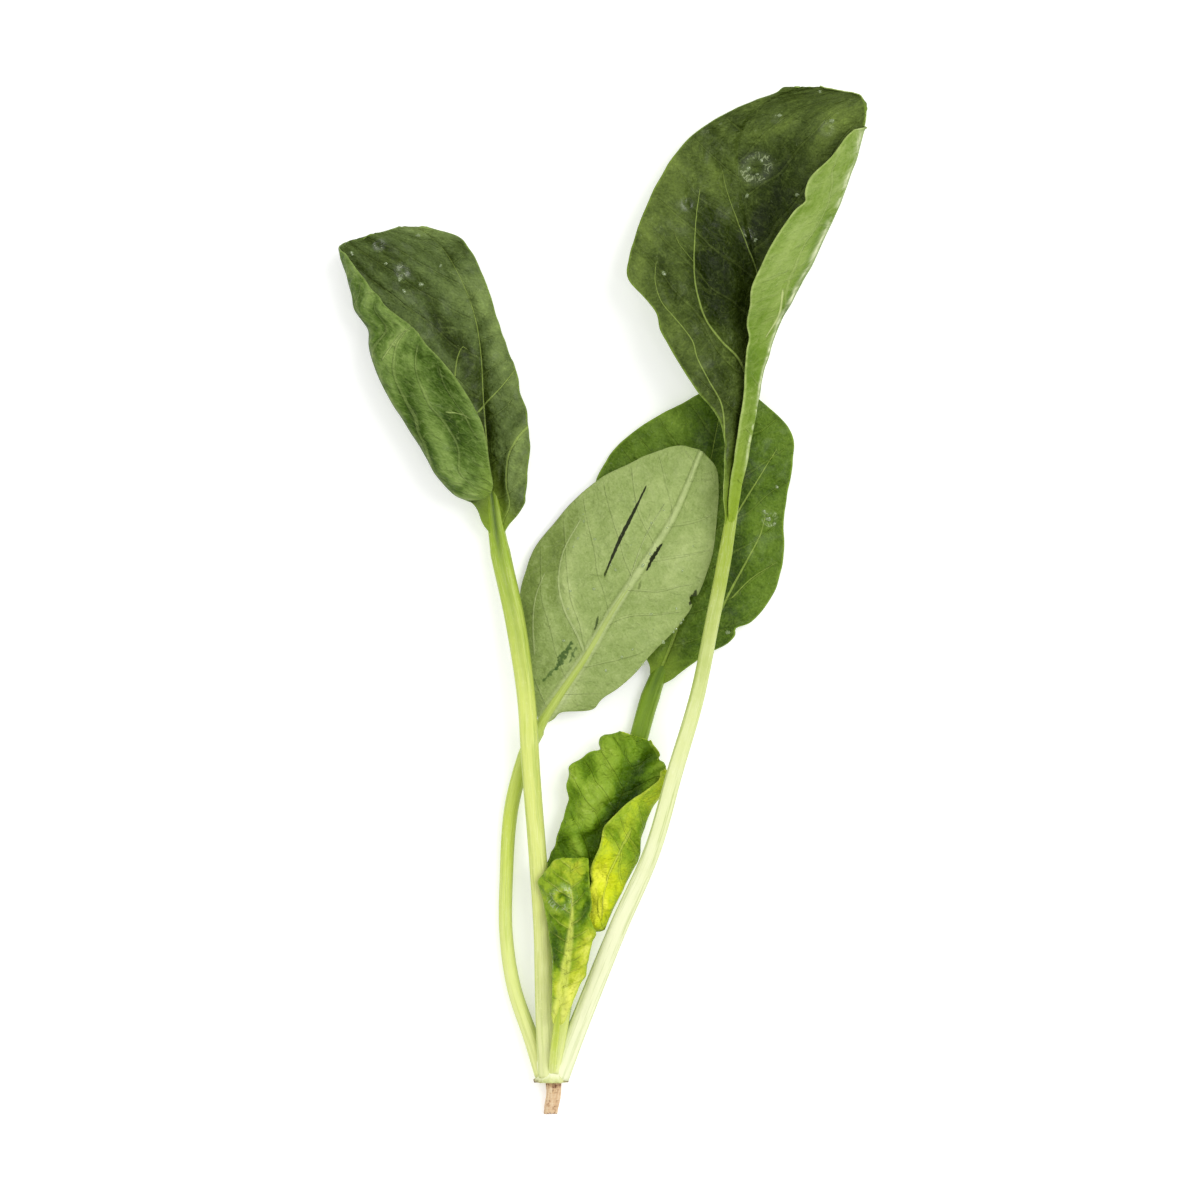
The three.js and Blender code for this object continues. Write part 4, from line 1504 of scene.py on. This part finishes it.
DARK = BladeFinish(
    "dark_upper", ("#1a2602", "#2e3c0a", "#4a5a22", "#687a34", "#88a044"), "#9cb257", "#7f9a36", "#86a230",
    mottle=0.17, net=0.13, side=0.1, grain=0.24,
)  # fmt: skip
DARK_UNDER = BladeFinish(
    "dark_under", ("#4c6a14", "#6a8826", "#849d45", "#9bb15b", "#bccb80"), "#c4d088", "#b4c676", "#8ba428",
    roughness=0.5, mottle=0.14, net=0.14, side=0.2, grain=0.2, sheen=0.8, bent="#d8e0b2", raised=1.0,
)  # fmt: skip
CREASED = replace(
    DARK, name="creased_upper", tones=("#1a2602", "#34430f", "#526330", "#6e8044", "#8aa056"), stalk="#8ea838"
)
CREASED_UNDER = BladeFinish(
    "creased_under", ("#1c3004", "#3a540e", "#5a742c", "#7e974a", "#a4b76a"), "#a0b468", "#8aa151", "#8fab3a",
    roughness=0.46, mottle=0.17, net=0.28, side=0.32, grain=0.34, sheen=0.35, bent="#9cae6a", raised=1.0,
)  # fmt: skip
SAGE = BladeFinish(
    "sage", ("#586a30", "#778a43", "#8fa25c", "#a8b873", "#c4d096"), "#c3d092", "#97a862", "#b4c57a",
    roughness=0.55, net=0.15, side=0.10, grain=0.2, sheen=0.15, raised=1.0, veins_show=0.6, rib_soft=0.35,
)  # fmt: skip
LOWEST = BladeFinish(
    "lowest_upper", ("#1e3002", "#344c0a", "#4f6a16", "#6a862a", "#8aa63e"), "#9cb450", "#8aa83a", "#86a036",
    mottle=0.18, net=0.15, side=0.16, grain=0.24,
)  # fmt: skip
YOUNG = BladeFinish(
    "young_upper", ("#2a4402", "#4e6e0a", "#6f911c", "#8fad34", "#bccf66"), "#a8c040", "#9ab836", "#c3d05a",
    roughness=0.36, mottle=0.11, net=0.07, side=0.1, grain=0.34, veins_show=0.5,
)  # fmt: skip
YOUNG_UNDER = BladeFinish(
    "young_under", ("#486c08", "#789a18", "#a6be2c", "#d2de1c", "#f0f246"), "#c8d65c", "#bccb50", "#c3d05a",
    mottle=0.12, side=0.2, grain=0.34, sheen=0.1, raised=1.0, veins_show=0.5, moist=0.08,
)  # fmt: skip
YOUNGEST = replace(
    YOUNG, name="youngest_upper", tones=("#3a5a04", "#66880e", "#8fab22", "#bfcb34", "#e6e968"),
    vein="#dbe468", stalk="#dde46e", veins_show=0.9, raised=1.0, side=0.3, mottle=0.14, rib_soft=0.4,
)  # fmt: skip
PALE_SKIN = StalkFinish(
    "pale_skin", ("#f1f4cc", "#eff2c6", "#dce49c", "#9eb23a", "#88a434"), "#94aa34", "#f4f6cc", "#a4b94c"
)
CREASED_SKIN = StalkFinish(
    "creased_skin", ("#e2e6a6", "#d9e082", "#d3de70", "#9ab534", "#7f9c22"), "#8ea82c", "#ecf1aa", "#a8bd42",
    channel="#35500a",
)  # fmt: skip
TURNED_SKIN = StalkFinish(
    "turned_skin", ("#eaeea0", "#dbe488", "#c6d656", "#bccd62", "#a0b068"), "#a4ba44", "#e2eaa0", "#9cb248",
    flanks=0.4,
)  # fmt: skip
GREEN_SKIN = StalkFinish(
    "green_skin", ("#bccb6a", "#9cb444", "#82a028", "#76961c", "#62821a"), "#506e10", "#a8c04c", "#94b03a"
)
YOUNG_SKIN = StalkFinish(
    "young_skin", ("#e4eaa0", "#d8e280", "#c6d45a", "#bccb4a", "#aabd40"), "#a8bc44", "#eaf0b0", "#b0c450"
)


def each(kind: type, *rows: tuple[Any, ...], **shared: Any) -> tuple[Any, ...]:
    """One mark of the kind for each row of its values, with the values that all of them share."""
    return tuple(kind(*row, **shared) for row in rows)


def scattered(low: Sequence[float], high: Sequence[float], count: int, seed: int) -> Points:
    """Small drops strewn evenly over a box in plan, from a fixed seed.

    Args:
        low: the box's least X and Y, mm.
        high: its greatest X and Y.
        count: how many drops.
        seed: the seed.

    Returns:
        Plan X and Y, and radius, of each drop, mm.
    """
    smallest, largest = 0.16, 0.42
    rng = np.random.default_rng(seed)
    spots = rng.uniform((*low, smallest), (*high, largest), (count, 3))
    return tuple(map(tuple, spots.tolist()))


def tall_leaf() -> Leaf:
    """The tallest leaf, whose right half folds over its own middle."""
    return Leaf(
        name="tall_leaf",
        stalk=(
            (1.6, -0.6, 3.9), (4.3, 6.6, 4.8), (8.1, 16.2, 6.4), (14.8, 32.8, 9.6), (22, 49.3, 12.8),
            (26.7, 65.8, 14.4), (31.5, 82.2, 15.4), (34.9, 98.7, 15.6), (37.8, 113.9, 15),
        ),
        rib=(
            (40.7, 132.9, 13), (43.3, 150, 9.2), (45, 166.3, 5), (44.6, 177.7, 2.6), (42.4, 188, 1.2),
            (41, 197.5, 1.4), (41.4, 204.5, 2.6), (45.4, 210.8, 4.2), (54.2, 214.9, 5.4),
        ),
        radii=(2.3, 1.8, 1.5), at=(0, 0.09, 0.18, 0.26, 0.35, 0.47, 0.59, 0.71, 0.84, 0.93, 1),
        left=Half(
            (1.2, 2.2, 3.4, 5.8, 14.3, 22.8, 27.7, 20.6, 10.8, 3, 2), (38, 30, 14), (30, 8, 0),
            nicks=(Nick(0.55, 0.03, -1.6), Nick(0.485, 0.03, 0.9), Nick(1, 0.02, -1.5)),
        ),
        right=Half(
            (1.2, 1.3, 1.5, 1.9, 2.2, 5.3, 12.2, 20.6, 25.7, 19.8, 4), (50, 32, 16), (165, 151, 145),
            flap=(1.4, 2.2, 2.8, 3.2, 3.7, 8, 12.2, 9.6, 3.4, -3, 0), turn=7,
            nicks=(
                Nick(0.905, 0.03, -0.3), Nick(0.955, 0.022, -1.45), Nick(0.75, 0.028, -1.6, True),
                Nick(0.885, 0.03, 4, True), Nick(0.703, 0.012, 1.3, True), Nick(0.43, 0.02, 0.8, True),
                Nick(0.53, 0.03, -0.8, True),
            ),
        ),
        wave=(0.5, 3), crinkle=(0.35, 15), upper=DARK, under=DARK_UNDER, skin=PALE_SKIN,
        blade_slot="dark_blade", stalk_slot="pale_stalk", shows=(0.26, 0.38), folds=(0.30, 7), ripple=0.5,
        spacing=11, seed=2, tone=-0.12, relief_shade_and_light=0.34, rib_line=(0.35, 0.02, -0.1), winged=0.36, merge=12,
        veins=(
            Vein((
                (42.6, 150.5), (40.4, 155.7), (36.6, 159.5), (33.4, 164.1), (31.4, 170.9), (31, 176.6),
                (31.4, 186.1), (32.3, 192.8),
            ), 0.27),
            Vein((
                (37.5, 135.8), (37.4, 141.4), (36.6, 146.2), (34.2, 150.5), (31.5, 155.7), (30.4, 159.5),
                (26.6, 164.4), (23.8, 168.1), (22.5, 172.8), (22.8, 176.6),
            ), 0.2),
            Vein(((45.6, 172), (43.2, 179), (40.2, 186.5), (38.2, 192), (36.8, 198)), 0.18),
            Vein(((31, 176.6), (27.5, 181), (25.5, 187)), 0.08),
            Vein(((49.9, 169.9), (49.2, 165.2), (46.5, 160.4)), 0.28, Layer.FLAP),
        ),
        patches=each(
            Patch, (36, 173.5, 5.5, 9.5, 5, -0.75), (45.6, 186.1, 5, 10, 30, -0.7),
            (53.7, 197.5, 5, 9, 30, -0.35), (41.8, 164.2, 4, 9, -10, -0.6), (33.2, 187.1, 3.5, 6, 10, -0.35),
            (36.5, 150, 3, 8, -20, -0.35), (36.1, 198.4, 6, 5, 40, 0.15), (19.9, 180.4, 3.2, 12, 15, 0.4),
            (24.8, 197.8, 3, 9, 35, 0.4), (19, 170.8, 3.5, 4.5, 0, 0.55), (23.8, 162.3, 3, 7, -35, 0.30),
            (62.7, 208.8, 5, 4, 60, 0.35), (52, 206, 14, 5, 10, 0.32), (42, 207, 3, 6, 60, -0.25),
            (28.5, 176, 2.5, 8, 10, 0.2),
        ) + each(
            Patch, (52, 176, 3, 14, 28, 0.12), (60, 197, 2.5, 8, 30, 0.2), (44, 154, 4, 9, 5, -0.3),
            (51.6, 167.5, 1.8, 5, 25, -0.8), (58, 182, 1.4, 6, 25, -0.4), layer=Layer.FLAP,
        ),
        creases=each(
            Fold, (((29, 200), (27.5, 190), (28.8, 180)), 2.2, 0.5),
            (((39, 178), (39.7, 170), (39, 162)), 1.7, 0.6), (((35, 184), (34.2, 174), (35.6, 164)), 2, -0.6),
            (((49, 192), (45.4, 184), (42.4, 175)), 1.8, -0.7),
            (((38, 206), (45, 204.5), (52, 207)), 1.8, 0.5),
            (((33, 203), (35.5, 194), (38.5, 187)), 1.8, 0.5),
            (((56, 210), (54, 203), (49.5, 197.5)), 1.6, -0.45),
            (((60, 208), (58.5, 200), (54, 192.5)), 1.8, 0.45),
            (((25, 176), (26.5, 169), (30, 161)), 1.6, -0.4),
        ) + each(
            Fold, (((46, 160), (51, 172), (57, 183)), 2.2, 0.5),
            (((52, 168), (56, 176), (60, 186)), 1.4, -0.35), layer=Layer.FLAP,
        ),
        puckers=each(
            Pucker, (44.6, 197.6, 4, 0.32, 1.6), (29.5, 189.4, 1.6, 0.1, 1.2), (49, 208, 1.2, 0.1, 1),
            (60, 205.5, 1.8, 0.15, 1.2), (43, 183, 1.2, 0.1, 1),
        ),
        dew=(
            (61.1, 207, 0.55), (58.4, 213.8, 0.4), (44.2, 181.5, 0.5), (53.5, 191.3, 0.5),
            (24.3, 173.9, 0.55), (42.9, 191.4, 0.5), (49.4, 208.6, 0.45), (45.6, 199, 0.5),
            (43.2, 197.2, 0.55), (44.8, 196.2, 0.4),
        ),
    )  # fmt: skip


def creased_leaf() -> Leaf:
    """The left-hand leaf, whose broad left half is folded over as far as its rib."""
    return Leaf(
        name="creased_leaf",
        stalk=(
            (-0.8, -0.4, 4.6), (-1.3, 7.5, 5.9), (-1.6, 16.2, 6.6), (-2, 32.8, 7.4), (-3.1, 49.3, 7.9),
            (-4.4, 65.8, 8), (-5.5, 82.4, 7.6), (-7.9, 98.7, 6.2), (-11.2, 113.9, 4.6),
        ),
        rib=(
            (-12.6, 123.4, 3.6), (-13.8, 134.8, 2.5), (-14.8, 147.3, 1.7), (-15.4, 157.5, 1.4),
            (-16.9, 166, 1.5), (-19.6, 173, 1.9), (-23.6, 179.8, 2.6), (-29, 184.6, 3.4),
        ),
        radii=(2, 1.95, 2.2), at=(0, 0.07, 0.14, 0.165, 0.22, 0.35, 0.5, 0.65, 0.8, 0.92, 1),
        left=Half(
            (2.2, 3, 4.4, 8.4, 11.8, 16.5, 22.3, 24.3, 24.2, 19.2, 4), (30, 14, 10), (168, 172, 120),
            flap=(0, 0, 0, 7.6, 12.4, 16, 16.2, 10, 4.2, 1.2, 0.4), turn=7,
            nicks=(
                Nick(0.905, 0.05, -0.9), Nick(0.27, 0.1, 1.3, True), Nick(0.64, 0.03, 0.8),
                Nick(0.71, 0.03, -0.7),
            ),
        ),
        right=Half(
            (2, 3.2, 7, 7.3, 8.2, 9.5, 8, 5, 5.1, 5.6, 1.4), (24, 12, 12), (0, -30, -30),
            nicks=(Nick(0.96, 0.035, -2.3), Nick(0.41, 0.03, -0.5)),
        ),
        wave=(0.5, 4), crinkle=(0.45, 12), upper=CREASED, under=CREASED_UNDER, skin=CREASED_SKIN,
        blade_slot="dark_blade", stalk_slot="pale_stalk", shows=(0.1, 0.24), folds=(0.34, 5.5), ripple=0.5,
        seed=5, rib_line=(0.4, 0.2, 0.08), winged=0.34, merge=8, relief_shade_and_light=0.5,
        veins=(
            Vein(((-16, 144.3), (-11.4, 149.1), (-7.6, 153.8)), 0.22),
            Vein(((-21.1, 151), (-20.7, 155), (-19.4, 158.5), (-18.4, 158)), 0.2),
            Vein(((-36.3, 155.7), (-32.4, 160.7), (-30.2, 162.4)), 0.2, Layer.FLAP),
            Vein(((-22.4, 144), (-19.6, 143.6), (-17.4, 142.5)), 0.2, Layer.FLAP),
            Vein((
                (-5, 141.2), (-7.5, 138.3), (-9.3, 134), (-9.6, 129), (-8.9, 124.1), (-10.4, 120),
            ), 0.25),
        ),
        creases=each(
            Fold, (((-5, 141), (-8.6, 135.5), (-9.2, 127), (-9.5, 121)), 0.9, 0.45),
            (((-9.5, 137), (-11, 130), (-11.2, 123.5)), 1.1, -0.6),
            (((-19, 172.5), (-13.5, 165), (-11.5, 155)), 1.6, 0.45),
            (((-29, 172), (-25, 165), (-20.5, 158)), 2, -0.5),
            (((-33, 178.5), (-27.5, 175.5), (-22, 170.5)), 1.6, 0.4),
        ) + each(
            Fold, (((-36.8, 154.6), (-32.4, 160.7), (-29.6, 163)), 1.2, 0.55),
            (((-33.5, 158), (-30.5, 155), (-27, 153.6)), 1.2, 0.45),
            (((-29, 156.5), (-21.5, 149.8), (-17.4, 142)), 1.2, -0.5),
            (((-28.5, 149), (-25.5, 139.5), (-20.5, 129)), 1.6, 0.6),
            (((-24.5, 149.5), (-21, 140), (-17.5, 131.5)), 1.5, -0.55),
            (((-33, 149.5), (-29, 141.5), (-24.5, 134)), 1.4, -0.45),
            (((-23, 129), (-20.5, 127), (-17, 129.5)), 1.2, -0.5),
            (((-42.5, 175), (-37, 166.5), (-31, 160.5)), 1.3, 0.4), layer=Layer.FLAP,
        ),
        patches=each(
            Patch, (-18.1, 155.7, 3, 8, -25, -0.7), (-14.2, 140.5, 1.8, 9, -12, -0.8),
            (-11.4, 129.1, 1.6, 6, -12, -0.6), (-10.4, 149.1, 3.5, 4, 0, 0.25), (-7, 134, 2.2, 9, 6, 0.3),
            (-27.6, 184.2, 12, 2.4, 0, 0.55), (-9.5, 157, 4, 15, -15, 0.25), (-20, 170, 3.5, 9, -25, 0.25),
            (-35.1, 176.6, 6, 5, 0, -0.35), (-25.6, 163.3, 3, 6, -40, -0.35),
        ) + each(
            Patch, (-24.5, 131, 7, 5, -30, -0.3), (-17.5, 127, 2.2, 7, -20, 0.5), (-36, 160, 4, 9, -20, 0.15),
            (-28, 143, 6, 6, 0, -0.2), layer=Layer.FLAP,
        ),
        puckers=(Pucker(-32.3, 175, 1.8, 0.1, 1.2), Pucker(-37.6, 180.5, 1.4, 0.1, 1)),
        dew=(
            (-28.9, 182.7, 0.5), (-43.3, 178.5, 0.5), (-32.7, 173.2, 0.6), (-28.5, 172, 0.55),
            (-31.9, 170.5, 0.5), (-24, 176, 0.4), (-36, 176.5, 0.4),
        ),
    )  # fmt: skip


def turned_leaf() -> Leaf:
    """The middle leaf, lying upside down with its pale side and rib on top, torn in two places."""
    return Leaf(
        name="turned_leaf",
        stalk=(
            (-1.9, -0.2, 3.2), (-4.3, 7.5, 2.8), (-8.2, 18.9, 2), (-9.9, 30.3, 1.8), (-9.9, 41.7, 1.8),
            (-8.9, 56.9, 2.2), (-6.1, 68.3, 3.2), (-3, 75.1, 4.8),
        ),
        rib=(
            (1.9, 82.7, 8.2), (7.1, 90.3, 10.2), (14.1, 102.1, 11.2), (21.1, 112.6, 11.4),
            (26.7, 121.7, 11.2), (32.6, 135.6, 10.4),
        ),
        radii=(1.8, 1.45, 1.7), heading=31, at=(0, 0.07, 0.2, 0.35, 0.55, 0.74, 0.88, 0.95, 0.985, 1),
        left=Half(
            (1, 4, 11.4, 19.7, 21.3, 18.6, 12.3, 8.2, 4.4, 0.6), (-14, -12, -8), (-26, -30, -20),
            nicks=(Nick(0.94, 0.04, 0.7),),
        ),
        right=Half(
            (1.3, 2.6, 8.1, 11.5, 13.9, 11.4, 8, 6, 3.9, 0.6), (-4, -4, -2), (-6, -4, -10),
            nicks=(Nick(0.15, 0.03, -1.6), Nick(0.085, 0.025, 1), Nick(0.598, 0.011, 1.5)),
        ),
        wave=(0.25, 3), crinkle=(0.2, 14), upper=SAGE, under=DARK, skin=TURNED_SKIN,
        blade_slot="leaf_underside", stalk_slot="pale_stalk", turned=True, folds=(0.1, 6), seed=8, tone=0.03,
        rib_line=(1.8, 0.75, 0.25), winged=0.1, rib_taper=(0.25, 0.3), relief_shade_and_light=0.4,
        veins=(
            Vein(((7.8, 91), (5.6, 96), (2.9, 101.5), (1.7, 107.5), (2.8, 114), (6.3, 120.5)), 0.32),
            Vein(((-3.6, 92), (-3.9, 98), (-3.4, 103.5), (-1.5, 109)), 0.22),
            Vein(((16.5, 105.5), (20, 116), (24.5, 124)), 0.15),
        ),
        creases=each(
            Fold, (((5, 95), (1, 102), (0.2, 108), (1.4, 114.5), (5, 121)), 1.6, -0.55),
            (((8, 94.5), (4.4, 101.5), (3.4, 107.5), (4.6, 113), (8, 119)), 1.4, 0.45),
            (((24, 104), (26.5, 110), (29.5, 117)), 1.6, 0.35), (((13, 112), (17, 120), (23, 128)), 1.6, 0.3),
        ),
        patches=each(
            Patch, (-4.6, 103, 3.2, 16, 12, -0.5), (1, 116, 3, 8, 30, -0.35), (24, 116, 10, 14, 30, 0.15),
            (8, 84, 5, 4, 30, -0.1), (3, 82.5, 2.4, 6, 30, 0.7),
        ),
        slits=each(
            # the first two are torn slits, painted near black as shade in their gaps
            Slit, (((20.6, 127.8), (18.1, 122.5), (15.2, 116.8), (11.7, 108.8)), 0.38, 0.4),
            (((23.8, 115.4), (21.9, 112.5), (20.6, 109.9)), 0.5, 1.1),
            (((12.2, 110.4), (11.6, 108.2)), 0.25, 0.8, "#46541f", 0.6, 0.2),
            (((19.4, 107.4), (19, 105.6)), 0.3, 0.8, "#46541f", 0.6, 0.2),
            (((10.3, 99.6), (9.7, 97)), 0.3, 0.9, "#33451a", 0.85, 0.15),
            (((4.4, 94), (2.6, 90.8), (1.2, 88.6)), 0.6, 3.6, "#35521f", 0.85, 0.3),
            (((5.4, 93), (4.2, 90)), 0.3, 2.6, "#35521f", 0.8, 0.3),
            (((0.9, 88.4), (-1.6, 85.8)), 0.3, 1.6, "#3c5a24", 0.75, 0.2),
            (((31.4, 105.4), (30.2, 102.6)), 0.5, 1.4, "#232c12", 0.9, 0.15),
        ),
        dew=scattered((0, 84), (32, 128), 34, 3),
    )  # fmt: skip


def lowest_leaf() -> Leaf:
    """The leaf at the bottom of the pile, on the surface."""
    return Leaf(
        name="lowest_leaf",
        stalk=(
            (0.7, -0.2, 2.9), (2.7, 15.1, 2.2), (7.6, 34.1, 2.1), (13.3, 53.1, 2.1), (18.2, 70.2, 2.1),
            (21.7, 82.7, 2.1),
        ),
        rib=(
            (26.6, 94.9, 2.7), (30.4, 106.3, 3.4), (33.1, 119.6, 4), (34.6, 132.9, 3.8), (37.9, 149.8, 2.6),
        ),
        radii=(1.9, 1.7, 2.15), heading=13.6, at=(0, 0.1, 0.25, 0.4, 0.57, 0.7, 0.82, 0.92, 1),
        left=Half(
            (1.6, 5.6, 15.6, 21.3, 24.7, 22, 15.8, 8.5, 1.6), (-4, -6, -4), (-10, -10, -8),
            nicks=(Nick(0.09, 0.06, 2.6),),
        ),
        right=Half(
            (1.6, 4.6, 12.8, 17.9, 18.3, 17.7, 17.5, 15.5, 6), (-6, -8, -6), (-14, -16, -10),
            nicks=(Nick(0.268, 0.016, 1.4), Nick(0.21, 0.03, -0.8), Nick(0.62, 0.04, 0.5)),
        ),
        wave=(0.5, 4), crinkle=(0.3, 13), upper=LOWEST, under=DARK_UNDER, skin=GREEN_SKIN,
        blade_slot="dark_blade", stalk_slot="green_stalk", shows=(0, 0.16), folds=(0.2, 6), ripple=0.5,
        seed=11, tone=0.03, rib_line=(0.5, 0.2, 0.1), winged=0.28, relief_shade_and_light=0.26,
        veins=(
            Vein(((36, 99), (39, 105.3), (43.2, 113), (45.6, 117.7), (46.5, 121.5)), 0.3),
            Vein(((38, 118), (44, 128), (49, 136)), 0.26),
            Vein(((39.5, 104), (43.5, 108), (49, 111.5)), 0.16),
        ),
        patches=each(
            Patch, (26.6, 141.4, 4, 5, 40, 0.4), (34.2, 138.6, 4, 6, -10, -0.5),
            (41.5, 129.1, 2.4, 14, 4, -0.6), (40, 108, 2.6, 12, 8, -0.6), (48.5, 140, 4, 6, -20, 0.15),
            (44, 116, 5, 10, 20, 0.25), (47, 106, 3.5, 7, 40, 0.25), (26, 92, 3, 5, 30, -0.25),
        ),
        puckers=(Pucker(47.5, 121, 2, 0.15, 1.5),),
        dew=(
            (47.5, 121.1, 0.6), (46.4, 122.6, 0.45), (48.6, 119.8, 0.45), (38.4, 96.4, 0.5), (49, 128, 0.4),
        ),
    )  # fmt: skip


def young_leaf() -> Leaf:
    """The larger of the young leaves, puckered, with its right half folded in."""
    return Leaf(
        name="young_leaf", stalk=((0.6, 0.4, 5.6), (2.7, 11.3, 6.8), (4.4, 22.7, 6.2), (7.4, 31.1, 5.6)),
        rib=(
            (9, 39, 5.3), (10.8, 48.2, 5.3), (13.8, 56.5, 5.6), (16.6, 64.1, 6), (18.2, 70, 6.4),
            (18.7, 73.6, 6.8),
        ),
        radii=(1.2, 1.1, 1), heading=18, at=(0, 0.1, 0.2, 0.35, 0.5, 0.7, 0.85, 1),
        left=Half(
            (2.4, 6.6, 10, 10.9, 10.7, 12.5, 10.2, 4), (8, 14, 10), (-20, -34, -30),
            nicks=(
                Nick(0.76, 0.035, -1.2), Nick(0.88, 0.018, 1.5), Nick(0.945, 0.03, -1.6),
                Nick(0.6, 0.04, 0.9), Nick(0.24, 0.05, -0.9), Nick(0.36, 0.03, 0.6),
            ),
        ),
        right=Half(
            (3.2, 4.5, 5.7, 6.8, 6.8, 6.5, 6.6, 2.6), (10, 8, 6), (168, 168, 130),
            flap=(2.8, 4.4, 6.4, 8.2, 8.4, 5, 2.4, 0.4), turn=4,
            nicks=(
                Nick(0.83, 0.09, -1.4), Nick(0.43, 0.08, -1.2), Nick(0.25, 0.03, 0.5, True),
                Nick(0.97, 0.05, 3, True),
            ),
        ),
        wave=(0.7, 5), crinkle=(0.7, 7), upper=YOUNG, under=YOUNG_UNDER, skin=YOUNG_SKIN,
        blade_slot="young_blade", stalk_slot="young_stalk", folds=(0.5, 3.8), ripple=0.6, spacing=6, merge=2,
        seed=14, tone=0.05, rib_line=(0.2, 0.08, -0.1), winged=0.05, relief_shade_and_light=0.42,
        veins=(Vein(((17.1, 53.1), (14.2, 47.4), (11.9, 41.7), (10.9, 34.1)), 0.28, Layer.FLAP),),
        patches=each(
            Patch, (0.9, 48.4, 3, 5, 10, -0.3), (16.6, 60, 2.2, 7, 25, -0.8), (12.3, 70.2, 5, 2.6, 0, 0.1),
            (8.6, 51.1, 5, 1.8, 60, -0.25), (6.2, 63.5, 3.5, 4, 0, 0.15), (13.5, 56, 2, 7, 35, -0.3),
            (19.5, 67, 2.5, 4, 0, -0.3),
        ) + each(
            Patch, (19.5, 58, 4.5, 8, 25, -0.3), (16, 47, 2.6, 8, 25, -0.05), (9.8, 38.5, 3, 9, 6, 1.3),
            (15.5, 42, 2, 5, 15, 0.2), layer=Layer.FLAP,
        ),
        creases=each(
            Fold, (((21, 70), (18, 63.5), (14, 57.8), (11, 53)), 2.3, -0.9),
            (((13.6, 69.5), (11, 61.9), (7.7, 55.4), (5.3, 49.7)), 2, 0.8),
            (((9, 70.5), (6.5, 63), (3.8, 57)), 1.4, -0.5),
            (((4, 64.5), (7.5, 62.5), (10.5, 64.5)), 1.2, 0.5),
            (((2, 50), (5.5, 52.5), (9.5, 50.5)), 1.3, -0.5),
            (((16.5, 71.5), (18.5, 68), (17.8, 65)), 1.3, 0.5),
        ) + each(
            Fold, (((19, 62), (16, 54), (13.5, 46)), 1.2, 0.5),
            (((16.5, 57), (14.5, 51.5), (14, 44)), 1, -0.45), layer=Layer.FLAP,
        ),
    )  # fmt: skip


def youngest_leaf() -> Leaf:
    """The smallest leaf, in the heart of the plant."""
    return Leaf(
        name="youngest_leaf", stalk=((0.1, -0.8, 4.8), (0.5, 4.2, 8.3), (1.2, 10.5, 9.9)),
        rib=((2.7, 20.8, 11), (4, 29.5, 11.6), (4.6, 37.9, 12), (4.2, 43.2, 12), (4.6, 47.4, 12)),
        radii=(0.9, 0.85, 0.8), at=(0, 0.15, 0.35, 0.6, 0.8, 0.92, 1),
        left=Half(
            (0.8, 1.8, 3, 5.4, 6.9, 5.4, 1.6), (20, 18, 10), (0, -50, -40),
            nicks=(Nick(0.86, 0.05, -0.7), Nick(0.98, 0.03, -1.4)),
        ),
        right=Half(
            (1.1, 2.8, 4.8, 4.8, 4.2, 4.3, 2.4), (16, 12, 10), (-10, -30, -30),
            nicks=(
                Nick(0.56, 0.035, -0.9), Nick(0.66, 0.03, 0.7), Nick(1, 0.04, -1.1), Nick(0.3, 0.03, -0.4),
            ),
        ),
        wave=(0.6, 5), crinkle=(0.6, 5), upper=YOUNGEST, under=YOUNG_UNDER, skin=YOUNG_SKIN,
        blade_slot="young_blade", stalk_slot="young_stalk", folds=(0.42, 3.2), ripple=0.4, spacing=3.4,
        rank=0.25, seed=17, tone=-0.12, merge=1.2, rib_line=(1.3, 0.8, -0.7), winged=0.4, relief_shade_and_light=0.5,
        patches=each(
            Patch, (3.8, 44.5, 3, 2, 0, 0.25), (6.6, 22, 2.6, 9, 12, 0.95), (4, 14, 2.4, 7, 0, 0.85),
            (0.8, 27, 1.4, 5, 0, -0.6), (8.6, 38, 1.3, 6, 0, -0.45), (0, 42, 2, 2.5, 0, 0.15),
            (1.2, 20, 1.2, 4, 0, 0.4), (5.4, 33, 1.6, 4, 20, -0.35),
        ),
        creases=each(
            Fold, (((7.2, 45), (7.4, 38), (6.6, 30)), 0.7, -0.5), (((0.2, 45), (3, 46.5), (6, 45)), 0.9, 0.4),
            (((5.2, 37), (4.4, 33.5), (1.6, 32)), 0.8, 0.4),
        ),
        puckers=(Pucker(2.2, 38.6, 3.4, 0.42, 2.4, 1),),
    )  # fmt: skip


def main() -> None:
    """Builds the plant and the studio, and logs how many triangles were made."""
    logging.basicConfig(level=logging.INFO, format="%(message)s")
    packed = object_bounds()
    maker = Maker(*(np.array(corner) / MM for corner in packed))
    leaves = [tall_leaf(), creased_leaf(), turned_leaf(), lowest_leaf(), young_leaf(), youngest_leaf()]
    for leaf in leaves:
        leaf.build_stalk(maker)
        leaf.build_blade(maker)
    Crown().build(maker)
    Root().build(maker)
    for leaf in leaves:
        if leaf.dew:
            Dew(leaf).build(maker)
    Studio().build()
    log.info("triangles in all: %d", maker.made)


if __name__ == "__main__":
    main()
